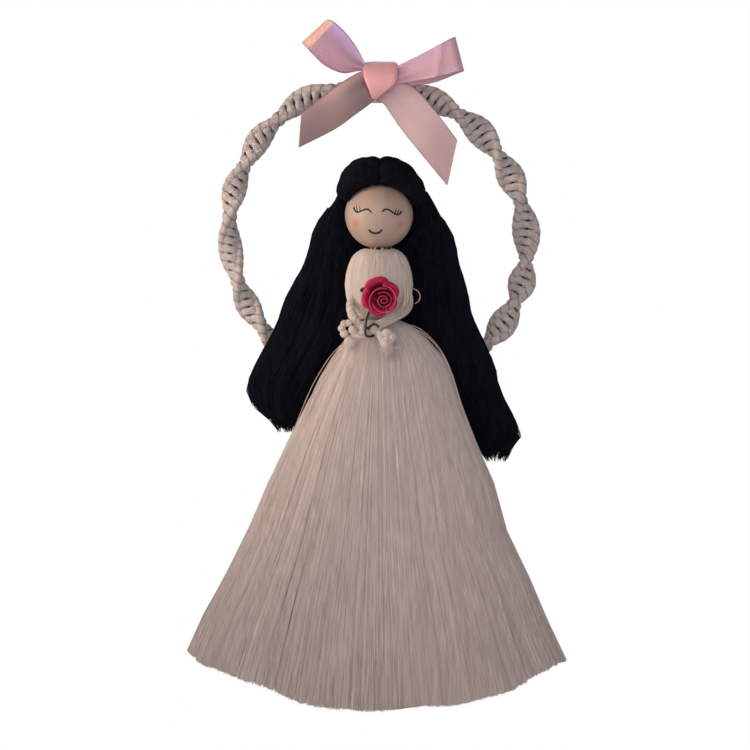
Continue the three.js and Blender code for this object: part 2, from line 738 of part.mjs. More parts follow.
// The left arm comes out from among the bodice strands halfway down
const LEFT_ARM_Z = BODICE_TOP * 0.43;
const leftArm = smooth([
  v3(-sideX, sideY, LEFT_ARM_Z),
  v3(-sideX - 0.3, sideY - 0.1, LEFT_ARM_Z - 2.6),
  v3(-sideX + 0.5, sideY - 1.6, LEFT_ARM_Z - 5.8),
  v3(-8.6, WRIST_Y + 1.2, 3.4),
  v3(-7.9, WRIST_Y + 0.2, 1.0),
]);
piece(doll, "arm_left", cord(leftArm, ARM_R, 12, 7), "cotton");

// Hands: each an overhand knot in the end of the cord
function handKnot(name, radius, place, stretch, lean) {
  const tube = radius * 0.4;
  const knot = new THREE.TorusKnotGeometry(radius, tube, 42, 6, 2, 3);
  knot.scale(...stretch);
  knot.rotateX(Math.PI / 2);
  knot.rotateY(degrees(lean));
  knot.translate(place.x, place.y, place.z);
  piece(doll, name, knot, "cotton");
}
handKnot("hand_right", HAND_KNOT, v3(3.9, WRIST_Y - 0.6, WRIST_Z - 4.9), [0.98, 0.82, 1.15], 12);
handKnot("hand_left", LEFT_HAND_KNOT, v3(-10.2, WRIST_Y - 0.4, WRIST_Z - 3.2), [0.84, 1.1, 1.15], -8);

// Rose, built opening along +Z and then turned to face forward
const rose = new THREE.Group();
const ROSE_PLACE = v3(0.5, WRIST_Y - 4.9, 11.6);
const roseFacing = v3(0.1, -0.97, -0.16).normalize();
rose.position.copy(ROSE_PLACE);
rose.quaternion.setFromUnitVectors(v3(0, 0, 1), roseFacing);
doll.add(rose);

const HEART_TURNS = 1.45;
const HEART_START = 0.75;
const HEART_PITCH = ROSE_SHEET + 1.5 * GAP;
const heartOuter = HEART_START + HEART_TURNS * HEART_PITCH + ROSE_SHEET / 2;
function roseHeart() {
  const outer = [];
  const inner = [];
  const steps = 26;
  for (let i = 0; i <= steps; i += 1) {
    const turn = (2 * Math.PI * HEART_TURNS * i) / steps;
    const reach = HEART_START + (HEART_PITCH * turn) / (2 * Math.PI);
    const way = v3(Math.cos(turn), Math.sin(turn), 0);
    const top = 4.6 + 0.5 * Math.sin(turn * 0.5);
    const place = (distance, z) => way.clone().multiplyScalar(distance).setZ(z);
    outer.push([place(reach + ROSE_SHEET / 2, PETAL_FOOT), place(reach + ROSE_SHEET / 2, top)]);
    inner.push([place(reach - ROSE_SHEET / 2, PETAL_FOOT), place(reach - ROSE_SHEET / 2, top)]);
  }
  return sheet(outer, inner);
}
piece(rose, "rose_heart", roseHeart(), "petal");

// A cupped petal: one side tucks inside its neighbour, the other lies outside the next
function petal(reach, drift, span, middle, top, flare) {
  const outer = [];
  const inner = [];
  const rows = [0, 0.5, 0.85, 1];
  for (const up of rows) {
    const rowOut = [];
    const rowIn = [];
    for (let k = 0; k <= 6; k += 1) {
      const share = k / 3 - 1;
      const turn = middle + (share * span) / 2;
      const edge = top * (1 - 0.3 * share ** 4);
      const z = PETAL_FOOT + (edge - PETAL_FOOT) * up;
      const distance = reach + (drift * share) / 2 + flare * Math.max(0, z / top) ** 4;
      const way = v3(Math.cos(turn), Math.sin(turn), 0);
      rowOut.push(way.clone().multiplyScalar(distance + ROSE_SHEET / 2).setZ(z));
      rowIn.push(way.clone().multiplyScalar(distance - ROSE_SHEET / 2).setZ(z + 0.01));
    }
    outer.push(rowOut);
    inner.push(rowIn);
  }
  return sheet(outer, inner);
}
const innerDrift = (ROSE_SHEET + 1.5 * GAP) / 0.74;
const innerReach = heartOuter + GAP + innerDrift / 2 + ROSE_SHEET / 2;
for (let k = 0; k < 3; k += 1) {
  const middle = degrees(120 * k + 40);
  const shape = petal(innerReach, innerDrift, degrees(150), middle, 4.4, 0.3);
  piece(rose, `rose_petal_inner_${k + 1}`, shape, "petal");
}
const outerDrift = (ROSE_SHEET + 1.5 * GAP) / 0.68;
const outerReach = innerReach + innerDrift / 2 + ROSE_SHEET + 0.3 + GAP + outerDrift / 2;
for (let k = 0; k < 5; k += 1) {
  const middle = degrees(72 * k + 100);
  const shape = petal(outerReach, outerDrift, degrees(100), middle, 3.6, 1.0);
  piece(rose, `rose_petal_outer_${k + 1}`, shape, "petal");
}

// Calyx behind the petals, and one small leaf
const calyxFront = PETAL_FOOT - GAP;
const calyxProfile = [[0, -3.6], [1.3, -3.4], [3.4, -2.3], [outerReach, calyxFront - 0.5]];
calyxProfile.push([outerReach, calyxFront], [0, calyxFront]);
const calyx = new THREE.LatheGeometry(calyxProfile.map((p) => new THREE.Vector2(...p)), 20);
calyx.rotateX(Math.PI / 2);
piece(rose, "rose_calyx", calyx, "leaf");

function leaf() {
  const outer = [];
  const inner = [];
  const outline = [[0, 0.5], [0.25, 1.1], [0.55, 1.4], [0.8, 0.9], [1, 0.25]];
  for (const [share, half] of outline) {
    const x = -outerReach - GAP - 2.8 * share;
    const z = calyxFront - 0.6 + 0.9 * share ** 2;
    const row = [-1, 0, 1].map((side) => v3(x, 2.2 + side * half, z - 0.25 * (1 - side ** 2)));
    outer.push(row.map((p) => p.clone().setZ(p.z + ROSE_SHEET / 2)));
    inner.push(row.map((p) => p.clone().setZ(p.z - ROSE_SHEET / 2)));
  }
  return sheet(outer, inner);
}
piece(rose, "rose_leaf", leaf(), "leaf");

// Stem: down from the calyx past the end of the arm, round the wrist and over the top of it.
// The hook's rows are a bearing round the wrist, 0 at the front and 90 on top, and a place across.
const hookReach = ARM_R + 1.5 * GAP + STEM_WIRE / 2;
const hook = [
  [10, -4.8], [-30, -4.9], [-70, -4.4], [-110, -3.4], [-150, -2.2], [-190, -1.2], [-230, -0.8],
  [-268, -1.0], [-300, -1.8], [-328, -3.1],
];
rose.updateMatrix();
const stemRoot = v3(0, 0, -3.6 - GAP).applyMatrix4(rose.matrix);
const stemPoints = [stemRoot, v3(0, 0, -4.7 - GAP).applyMatrix4(rose.matrix)];
stemPoints.push(v3(stemRoot.x - 3, stemRoot.y - 0.2, stemRoot.z - 4.8));
stemPoints.push(v3(hook[0][1] + 0.2, WRIST_Y - hookReach + 0.4, WRIST_Z + 3.4));
for (const [bearing, x] of hook) {
  const turn = degrees(bearing);
  stemPoints.push(v3(x, WRIST_Y - hookReach * Math.cos(turn), WRIST_Z + hookReach * Math.sin(turn)));
}
piece(doll, "rose_stem", cord(smooth(stemPoints), STEM_WIRE / 2, 44, 5), "stem");

export default part;
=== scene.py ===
import math

import bmesh
import bpy
import numpy as np
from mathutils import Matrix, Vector


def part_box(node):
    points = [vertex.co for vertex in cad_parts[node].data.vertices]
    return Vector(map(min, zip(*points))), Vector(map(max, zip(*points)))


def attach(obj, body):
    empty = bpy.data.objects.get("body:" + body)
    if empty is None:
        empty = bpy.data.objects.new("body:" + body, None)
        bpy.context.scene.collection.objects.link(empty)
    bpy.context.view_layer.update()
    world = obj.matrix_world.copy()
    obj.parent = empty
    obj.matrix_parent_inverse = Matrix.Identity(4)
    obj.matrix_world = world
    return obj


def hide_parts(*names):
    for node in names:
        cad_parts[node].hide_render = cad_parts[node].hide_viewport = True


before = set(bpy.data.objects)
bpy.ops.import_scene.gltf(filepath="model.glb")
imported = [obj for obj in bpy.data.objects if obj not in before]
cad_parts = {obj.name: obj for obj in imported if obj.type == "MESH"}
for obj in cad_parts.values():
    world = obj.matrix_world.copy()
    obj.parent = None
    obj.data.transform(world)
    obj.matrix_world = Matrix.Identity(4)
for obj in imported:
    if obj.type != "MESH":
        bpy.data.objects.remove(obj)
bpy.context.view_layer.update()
rng = np.random.default_rng(2711)
mm = 0.001
fullTurn = 2 * math.pi
scene = bpy.context.scene
scene.view_settings.view_transform = "Standard"


# small helpers, all lengths in millimetres until a mesh or curve is made

def tone(r, g, b):  # screen colour 0 to 255 as a linear socket value
    shares = [c / 255 for c in (r, g, b)]
    return (*(c / 12.92 if c <= 0.04045 else ((c + 0.055) / 1.055) ** 2.4 for c in shares), 1.0)


def darker(colour, share):
    return tuple(c * share for c in colour[:3]) + (1,)


def unit(rows):
    return rows / np.linalg.norm(rows, axis=-1, keepdims=True)


def along(table, at):  # a table of pairs, read at one or more places
    rows = np.array(table, float)
    return np.interp(at, rows[:, 0], rows[:, 1])


def stepLengths(path):
    return np.linalg.norm(np.diff(path, axis=0), axis=1)


def smoothPath(points, count):  # even steps along a smooth curve through the points
    p = np.array(points, float)
    p = np.vstack([2 * p[0] - p[1], p, 2 * p[-1] - p[-2]])
    t = np.linspace(0, 1, 24, endpoint=False)[:, None]
    fine = []
    for a, b, c, d in zip(p, p[1:], p[2:], p[3:]):
        bend, wave = 2 * a - 5 * b + 4 * c - d, 3 * b - a - 3 * c + d
        fine.append(0.5 * (2 * b + (c - a) * t + bend * t**2 + wave * t**3))
    fine = np.vstack(fine + [p[-2][None]])
    run = np.concatenate([[0], np.cumsum(stepLengths(fine))])
    want = np.linspace(0, run[-1], count)
    return np.stack([np.interp(want, run, fine[:, k]) for k in range(3)], axis=1)


def framesAlong(path):  # two square directions carried along a path
    ahead = unit(np.gradient(path, axis=0))
    side = np.cross(ahead[0], [0.13, 0.2, 0.97])
    if np.linalg.norm(side) < 0.2:
        side = np.cross(ahead[0], [1, 0, 0])
    sides = []
    for a in ahead:
        side = unit(side - a * side.dot(a))
        sides.append(side)
    sides = np.array(sides)
    return sides, np.cross(ahead, sides)


def around(turn, side, up):  # one direction round a path for each turn
    return np.cos(turn)[:, None] * side + np.sin(turn)[:, None] * up


def finishPiece(obj, body, slotName, nodes, materials):
    for material in materials:
        obj.data.materials.append(material)
    scene.collection.objects.link(obj)
    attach(obj, body)
    if nodes:
        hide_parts(*nodes)
    return obj


def strandPiece(name, strands, thickness, materials, nodes=(), picks=None, tip=0.5, sides=0,
                body="doll", slotName="cotton_cord"):
    curve = bpy.data.curves.new(name, "CURVE")
    curve.dimensions = "3D"
    curve.bevel_depth = thickness / 2 * mm
    curve.bevel_resolution = sides
    curve.use_fill_caps = True
    for k, strand in enumerate(strands):
        count = len(strand)
        spline = curve.splines.new("POLY")
        spline.points.add(count - 1)
        spots = np.ones((count, 4))
        spots[:, :3] = strand * mm
        spline.points.foreach_set("co", spots.ravel())
        swell = np.interp(np.linspace(0, 1, count), [0, 0.1, 0.75, 1], [0.85, 1, 1, tip])
        spline.points.foreach_set("radius", swell)
        if picks is not None:
            spline.material_index = int(picks[k])
    return finishPiece(bpy.data.objects.new(name, curve), body, slotName, nodes, materials)


def meshObject(name, bm):
    mesh = bpy.data.meshes.new(name)
    bm.to_mesh(mesh)
    bm.free()
    mesh.shade_smooth()
    return bpy.data.objects.new(name, mesh)


def gridPiece(name, place, columns, rows, material, nodes=(), wrap=False, thick=0, smooth=1,
              body="doll", slotName="cotton_cord"):
    bm = bmesh.new()
    bm.loops.layers.uv.verify()
    bmesh.ops.create_grid(bm, x_segments=columns, y_segments=rows, size=0.5, calc_uvs=True)
    for vert in bm.verts:
        vert.co = Vector(place(vert.co.x + 0.5, vert.co.y + 0.5)) * mm
    if wrap:
        bmesh.ops.remove_doubles(bm, verts=bm.verts, dist=2e-6)
    bmesh.ops.recalc_face_normals(bm, faces=bm.faces)
    obj = meshObject(name, bm)
    if thick:
        wall = obj.modifiers.new("wall", "SOLIDIFY")
        wall.thickness = thick * mm
        wall.offset = 0
    if smooth:
        soften = obj.modifiers.new("round", "SUBSURF")
        soften.levels = soften.render_levels = smooth
    return finishPiece(obj, body, slotName, nodes, [material])


def coreOf(node, inset, material, body="doll", slotName="cotton_cord", slim=1.0):  # a smaller solid under strands
    bm = bmesh.new()
    bm.from_mesh(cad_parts[node].data)
    bmesh.ops.remove_doubles(bm, verts=bm.verts, dist=1e-5)
    bm.normal_update()
    moved = [(vert, vert.co - vert.normal * inset * mm) for vert in bm.verts]
    middle = headMiddle[1] * mm
    for vert, spot in moved:
        deep = (spot.y - middle) * slim
        if slim < 1 and abs(vert.co.y - middle) < 1.2 * mm:  # no slit where the two halves meet
            deep = math.copysign(0.01 * mm, vert.co.y - middle)
        vert.co = (spot.x * slim, middle + deep, spot.z)
    return finishPiece(meshObject(f"{node}_core", bm), body, slotName, [node], [material])


# shader nodes shared by the finishes

def put(tree, kind, inputs=None, **settings):  # an input is a socket to link or a value
    node = tree.nodes.new("ShaderNode" + kind)
    for label, value in settings.items():
        setattr(node, label, value)
    for label, value in (inputs or {}).items():
        if hasattr(value, "is_linked"):
            tree.links.new(value, node.inputs[label])
        else:
            node.inputs[label].default_value = value
    return node


def maths(tree, operation, *values):
    return put(tree, "Math", dict(enumerate(values)), operation=operation).outputs[0]


def mapRange(tree, value, fromLow, fromHigh, toLow, toHigh, kind="LINEAR"):
    inputs = {"Value": value, "From Min": fromLow, "From Max": fromHigh, "To Min": toLow, "To Max": toHigh}
    return put(tree, "MapRange", inputs, interpolation_type=kind).outputs["Result"]


def mixTint(tree, amount, first, second, mode="MIX"):
    return put(tree, "Mix", {0: amount, 6: first, 7: second}, data_type="RGBA", blend_type=mode).outputs[2]


def ramp(tree, source, low, high, start=0.3, end=0.7):
    node = put(tree, "ValToRGB", {"Fac": source})
    for element, position, colour in zip(node.color_ramp.elements, (start, end), (low, high)):
        element.position, element.color = position, colour
    return node.outputs["Color"]


def dress(tree, shader, colour, height=None, strength=0.0, distance=0.1):  # colour and relief of a finish
    tree.links.new(colour, shader.inputs["Base Color"])
    if height is not None:
        relief = put(tree, "Bump", {"Strength": strength, "Distance": distance * mm, "Height": height})
        tree.links.new(relief.outputs["Normal"], shader.inputs["Normal"])


def newGroup(name, inputs, outputs):
    group = bpy.data.node_groups.new(name, "ShaderNodeTree")
    for label, kind, value in inputs:
        socket = group.interface.new_socket(label, in_out="INPUT", socket_type=kind)
        if value is not None:
            socket.default_value = value
    for label in outputs:
        group.interface.new_socket(label, in_out="OUTPUT", socket_type="NodeSocketFloat")
    return group, group.nodes.new("NodeGroupInput").outputs, group.nodes.new("NodeGroupOutput").inputs


def fibreGroup():  # streaks that run along a strand: fine across, slow along
    inputs = [("Vector", "NodeSocketVector", None), ("Across", "NodeSocketFloat", 900.0),
              ("Along", "NodeSocketFloat", 40.0)]
    tree, given, result = newGroup("fibreStreaks", inputs, ["Streak", "Patch"])
    stretch = put(tree, "CombineXYZ", {0: given["Across"], 1: given["Across"], 2: given["Along"]}).outputs[0]
    scaled = put(tree, "VectorMath", {0: given["Vector"], 1: stretch}, operation="MULTIPLY").outputs[0]
    for label, scale, detail in (("Streak", 1.0, 3.0), ("Patch", 0.16, 2.0)):
        noise = put(tree, "TexNoise", {"Vector": scaled, "Scale": scale, "Detail": detail})
        tree.links.new(noise.outputs["Fac"], result[label])
    return tree


def plyGroup():  # diagonal grooves of a plied cord, from the UV map: U along, V around
    inputs = [("UV", "NodeSocketVector", None), ("Turns", "NodeSocketFloat", 200.0),
              ("Plies", "NodeSocketFloat", 3.0)]
    tree, given, result = newGroup("plyTwist", inputs, ["Height", "GrooveShade"])
    split = put(tree, "SeparateXYZ", {0: given["UV"]}).outputs
    runs = maths(tree, "MULTIPLY", split[0], given["Turns"])
    rounds = maths(tree, "MULTIPLY", split[1], given["Plies"])
    turn = maths(tree, "MULTIPLY", maths(tree, "ADD", runs, rounds), math.pi)
    ridge = maths(tree, "ABSOLUTE", maths(tree, "SINE", turn))
    tree.links.new(ridge, result["Height"])
    tree.links.new(mapRange(tree, ridge, 0.0, 0.45, 1.0, 0.0), result["GrooveShade"])
    return tree


fibre = fibreGroup()
ply = plyGroup()


def newMaterial(name, rough, sheen, specular):
    material = bpy.data.materials.new(name)
    material.use_nodes = True
    tree = material.node_tree
    shader = tree.nodes["Principled BSDF"]
    shader.inputs["Roughness"].default_value = rough
    shader.inputs["Specular IOR Level"].default_value = specular
    shader.inputs["Sheen Weight"].default_value = sheen
    shader.inputs["Sheen Roughness"].default_value = 0.5
    return material, tree, shader, put(tree, "TexCoord").outputs


def streaks(tree, coords, across, lengthwise):
    inputs = {"Vector": coords["Object"], "Across": across, "Along": lengthwise}
    return put(tree, "Group", inputs, node_tree=fibre).outputs


def streakMaterial(name, low, high, rough, sheen, specular, across, lengthwise, relief=None, strength=0.0):
    material, tree, shader, coords = newMaterial(name, rough, sheen, specular)
    streak = streaks(tree, coords, across, lengthwise)
    colour = ramp(tree, streak["Streak"], tone(*low), tone(*high))
    dress(tree, shader, colour, streak[relief] if relief else None, strength)
    return material


def strandMaterial(name, low, high, rough=0.9, sheen=0.15, specular=0.12):
    return streakMaterial(name, low, high, rough, sheen, specular, 700.0, 25.0, "Patch", 0.25)


def cordMaterial(name, low, high, turns, plies, shade):  # shade is how dark the grooves are painted: painted shade in the grooves
    material, tree, shader, coords = newMaterial(name, 0.85, 0.25, 0.2)
    twist = put(tree, "Group", {"UV": coords["UV"], "Turns": turns, "Plies": plies}, node_tree=ply).outputs
    streak = streaks(tree, coords, 420.0, 420.0)["Streak"]
    # the groove mask darkens the colour: painted shade in the grooves between the plies
    colour = mixTint(tree, twist["GrooveShade"], ramp(tree, streak, low, high), darker(low, shade))
    dress(tree, shader, colour, maths(tree, "MULTIPLY_ADD", streak, 0.35, twist["Height"]), 0.3, 0.25)
    return material


# the cotton cord in tones from light down to a shadow tone: a random tone from strand to strand, and painted shade
# where the picks below say
cottonLight = strandMaterial("cotton_light", (182, 164, 158), (202, 184, 177))
cottonMid = strandMaterial("cotton_mid", (162, 145, 139), (180, 162, 155))
cottonCoolShade = strandMaterial("cotton_cool_shade", (160, 145, 150), (178, 163, 168))
cottonDark = strandMaterial("cotton_dark", (138, 123, 118), (157, 141, 135), 0.92, 0.1, 0.1)
cottonShadowTone = strandMaterial("cotton_shadow_tone", (104, 92, 89), (128, 114, 110), 0.95, 0.05, 0.1)
cottonTones = [cottonLight, cottonMid, cottonDark, cottonShadowTone, cottonCoolShade]
bodiceLight = strandMaterial("bodice_light", (194, 176, 167), (211, 193, 183))
bodiceMid = strandMaterial("bodice_mid", (188, 170, 162), (208, 190, 181))
bodiceTones = [bodiceLight, bodiceMid, cottonDark, cottonCoolShade, cottonShadowTone]
hairMid = strandMaterial("hair_mid", (9, 9, 15), (18, 18, 27), 0.8, 0.0, 0.06)
hairDark = strandMaterial("hair_dark", (5, 5, 10), (12, 12, 19), 0.85, 0.0, 0.05)
hairTones = [hairMid, hairDark]
hoopCotton = cordMaterial("hoop_cotton", tone(164, 150, 148), tone(196, 181, 177), 0.0, 2.0, 0.28)
hoopEdge = cordMaterial("hoop_cotton_edge", tone(166, 151, 147), tone(198, 182, 176), 112.0, 1.0, 0.55)
print("materials ready")


# places shared with the CAD part, millimetres in the part's frame
headLow, headHigh = (np.array(corner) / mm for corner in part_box("head_bead"))
headMiddle = (headLow + headHigh) / 2
beadRadius = (headHigh - headLow)[0] / 2
doll = {"y": headMiddle[1], "waistZ": -80.8}


def fromDoll(x, y, z):  # doll places count from the middle of the waist
    return np.stack(np.broadcast_arrays(x, y + doll["y"], z + doll["waistZ"]), axis=-1)


def onDoll(points, count):
    return fromDoll(*smoothPath(points, count).T)


# skirt

skirt = {
    "length": 140.2, "width": 139.0, "depth": 58.0, "riseLeft": 22.0, "riseRight": 19.0, "top": 4.05,
    "dip": (2.0, -0.55, 0.25),  # how far the hem is drawn up, where, and over what share of the width
    "left": [(0.025, 0.165), (0.089, 0.255), (0.156, 0.34), (0.22, 0.402), (0.301, 0.483), (0.387, 0.568),
             (0.473, 0.635), (0.559, 0.713), (0.645, 0.797), (0.731, 0.892), (0.817, 0.983), (0.859, 1.012), (1, 1.14)],
    "right": [(0.025, 0.245), (0.073, 0.345), (0.126, 0.392), (0.175, 0.418), (0.265, 0.479), (0.387, 0.588),
              (0.43, 0.618), (0.473, 0.645), (0.516, 0.665), (0.559, 0.68), (0.605, 0.722), (0.645, 0.772),
              (0.731, 0.852), (0.817, 0.915), (0.859, 0.962), (1, 1.08)],
    "deep": [(0.025, 0.29), (0.1, 0.38), (0.2, 0.44), (0.45, 0.62), (0.7, 0.84), (1, 1.0)],
    "topRight": [(8.6, 2.4), (12.2, 0.8), (16.8, -2.9), (20.8, -7.6)],
    "topLeft": [(8.4, 2.4), (9.2, -1.4), (12.2, -4.8), (15.4, -8.0)],
    "topFront": [(8.2, 2.9), (9.4, 0.4), (9.6, -3.4), (10.0, -7.0)],
    "drops": [11.5, 18, 29, 44, 62, 82, 103, 123],
    "frontStrands": 5200, "backStrands": 2600, "thick": 0.27, "perPiece": 1300,
    "looseRight": [(9, 1.4), (13.2, 1.4), (17.8, -1.8), (22.0, -6.4), (25.8, -13.4), (29.4, -25), (33, -38)],
    "looseLeft": [(9, 0.6), (12.6, -3.6), (16.6, -7.6), (19.8, -12.2), (24.0, -19.6), (28.2, -29.5), (33, -42)],
    "loose": 7, "looseThick": 0.24, "locks": 210, "folds": 60, "coreInset": 1.5, "coreSlim": 0.88,
    "shades": (0.7, 0.5, 0.3),  # above these a strand is light, middle or dark, and takes the shadow tone below; the darker picks on low locks are painted shade
}


def skirtPath(turn, side, layer, cut, wander):
    across, out = math.cos(turn), math.sin(turn)
    edge = np.array(skirt["topRight"] if across > 0 else skirt["topLeft"])
    front = np.array(skirt["topFront"])
    fold = layer * np.linspace(0.97, 1, len(edge))
    z = edge[:, 1] * across**2 + front[:, 1] * (1 - across**2)
    head = np.stack([edge[:, 0] * across * fold, side * front[:, 0] * out * fold, z], axis=1)
    drop = np.array(skirt["drops"] + [skirt["length"] + cut])
    share = np.interp(drop, [8, 14, 22, 34, 50, 70, 95, 118, 141], np.linspace(0, 1, 9))
    turns = turn + wander[0] * np.sin(drop / wander[1] + wander[2]) * (drop / skirt["length"])
    across, out = np.cos(turns), np.sin(turns)
    rise = np.where(across < 0, skirt["riseLeft"], skirt["riseRight"])
    radius = ((skirt["width"] / 2) ** 2 + rise**2) / (2 * rise)
    hem = skirt["length"] - radius + np.sqrt(radius**2 - (across * skirt["width"] / 2) ** 2)
    dip, dipAt, dipWide = skirt["dip"]
    hem = hem - dip * np.exp(-(((across - dipAt) / dipWide) ** 2))
    z = drop * (1 - share + share * hem / skirt["length"])
    down = np.maximum(z - skirt["top"], 0) / (skirt["length"] - skirt["top"]) + 0.025
    wide = np.where(across < 0, along(skirt["left"], down), along(skirt["right"], down)) * skirt["width"] / 2
    deep = along(skirt["deep"], down) * skirt["depth"] / 2
    ripple = wander[3] * np.sin(drop / 9 + wander[4]) * np.interp(drop, [12, 50], [0, 1])
    body = np.stack([wide * across * layer + ripple, side * deep * out * layer + 0.4 * side * ripple, -z], axis=1)
    return fromDoll(*np.vstack([head, body]).T)


def skirtStrands(count, side):
    locks, folds = rng.uniform(0, 1, skirt["locks"]), rng.uniform(0, 1, skirt["folds"])
    light, mid, dark = skirt["shades"]
    strands, picks = [], []
    for k in range(count):
        spot = (k + rng.uniform(0, 1)) / count
        lock, fold = locks[int(spot * (len(locks) - 1))], folds[int(spot * (len(folds) - 1))]
        turn = math.pi * (0.002 + 0.996 * spot) + 0.004 * (lock - 0.5)
        layer = 0.982 + 0.018 * lock + rng.uniform(-0.016, 0.006)
        wander = (rng.normal(0, 0.004), rng.uniform(18, 34), rng.uniform(0, 6.28), rng.normal(0, 0.06), 6.28 * lock)
        cut = rng.normal(-0.2, 0.35) + 0.7 * math.sin(7 * turn + 1) + 0.35 * math.sin(17 * turn)
        strands.append(skirtPath(turn, side, layer, cut, wander))
        # strands on raised locks take the lighter tones and those on low locks the darker ones: painted shade between
        # the locks, over a random tone
        shade = 0.45 * lock + 0.25 * fold + rng.uniform(0, 0.36)
        coolShade = 0.4 + 0.3 * math.cos(turn) + 0.3 * math.sin(23 * turn)  # the cool shade tone is picked more on the right side: painted cool shade there
        middle = 4 if rng.uniform() < coolShade else 1
        picks.append(0 if shade > light else middle if shade > mid else 2 if shade > dark else 3)
    return strands, picks


def looseStrands():
    strands = []
    for label, side in (("looseRight", 1), ("looseLeft", -1)):
        for k in range(skirt["loose"]):
            lift = rng.uniform(0.84, 1.03)
            rows = np.array(skirt[label]) * [lift, 1] + [0, rng.normal(-0.8, 0.9)]
            deep = rng.uniform(-5, 1) + np.linspace(0, 1, len(rows)) * rng.uniform(-4, 4)
            strands.append(onDoll(np.stack([side * rows[:, 0], deep, rows[:, 1]], axis=1), 16))
    return strands


def buildSkirt():
    for label in ("front", "back"):
        # the cores take the dark cotton tone: painted shade where they show between the strands
        coreOf(f"skirt_{label}", skirt["coreInset"], cottonDark, slim=skirt["coreSlim"])
    for label, side, count in (("front", -1, skirt["frontStrands"]), ("back", 1, skirt["backStrands"])):
        strands, picks = skirtStrands(count, side)
        pieces = math.ceil(count / skirt["perPiece"])
        for part in range(pieces):
            name = f"skirt_{label}_strands_{part + 1}"
            strandPiece(name, strands[part::pieces], skirt["thick"], cottonTones, picks=picks[part::pieces], tip=0.85)
    strandPiece("skirt_loose_strands", looseStrands(), skirt["looseThick"], [bodiceLight])
    print("skirt strands laid")


buildSkirt()


# bodice

bodice = {
    "rows": [(3.2, 6.0), (4.05, 8.6), (7.4, 10.7), (12.7, 12.0), (16.7, 12.3), (21.8, 11.55), (25.6, 9.9),
             (26.9, 8.8), (27.9, 7.4), (28.5, 6.0), (28.75, 4.6)],
    "levels": [3.3, 4.2, 6, 8.5, 12, 16, 20, 23.5, 25.8, 27.3, 28.2, 28.7],
    "flat": 0.878, "nape": 0.85, "strands": 1250, "thick": 0.3, "locks": 90, "coreInset": 1.1,
    "shades": (0.56, 0.24, 0.04, -0.2),  # above these a strand is light, middle, cool shade or dark, and takes the shadow tone below; the right side is pushed to the darker tones as painted shade
}


def bodicePath(turn, layer, wander):
    z = np.array(bodice["levels"])
    half = along(bodice["rows"], z) * layer
    turn = turn + wander * np.sin(z / 8)
    back = 0.5 + 0.5 * np.sin(turn)
    nape = bodice["nape"] * back * np.interp(z, [24, 28], [0, 1])  # the back stands up behind the bead
    return fromDoll(half * np.cos(turn), half * bodice["flat"] * np.sin(turn), z + nape)


def buildBodice():
    coreOf("bodice", bodice["coreInset"], bodiceMid)
    locks = rng.uniform(0, 1, bodice["locks"])
    light, mid, coolShade, dark = bodice["shades"]
    strands, picks = [], []
    for k in range(bodice["strands"]):
        spot = (k + rng.uniform(0, 1)) / bodice["strands"]
        lock = locks[int(spot * (len(locks) - 1))]
        lift = 0.014 * (lock - 0.5) + rng.uniform(-0.01, 0.01)
        strands.append(bodicePath(fullTurn * spot, 1.0 + lift, rng.normal(0, 0.012)))
        # towards the right side the strands take darker tones: painted shade on the bodice
        shade = 0.5 * lock + rng.uniform(0, 0.6) - 1.1 * max(0.0, math.cos(fullTurn * spot) - 0.3)
        picks.append(0 if shade > light else 1 if shade > mid else 3 if shade > coolShade else 2 if shade > dark else 4)
    strandPiece("bodice_strands", strands, bodice["thick"], bodiceTones, picks=picks, tip=0.9)
    print("bodice strands laid")


buildBodice()


# cords: a bundle of loose strands, or three plies laid round each other

def bundle(path, radius, count, turns, taper):  # taper is the share of the radius at the first end
    frameWays = framesAlong(path)
    share = np.linspace(0, 1, len(path))
    swell = np.interp(share, [0, 0.45, 1], [taper, 1, 1])
    strands = []
    for k in range(count):
        reach = radius * swell * (1 - 0.5 * (k % 3 == 2)) * rng.uniform(0.92, 1.03)
        turn = fullTurn * (k / count * 3 + turns * share) + rng.normal(0, 0.05)
        strands.append(path + reach[:, None] * around(turn, *frameWays))
    return strands


def plies(path, radius, turns, taper=1.0):
    frameWays = framesAlong(path)
    share = np.linspace(0, 1, len(path))
    reach = radius * 0.5 * np.interp(share, [0, 0.3, 1], [taper, 1, 1])[:, None]
    return [path + reach * around(fullTurn * (k / 3 + turns * share), *frameWays) for k in range(3)]


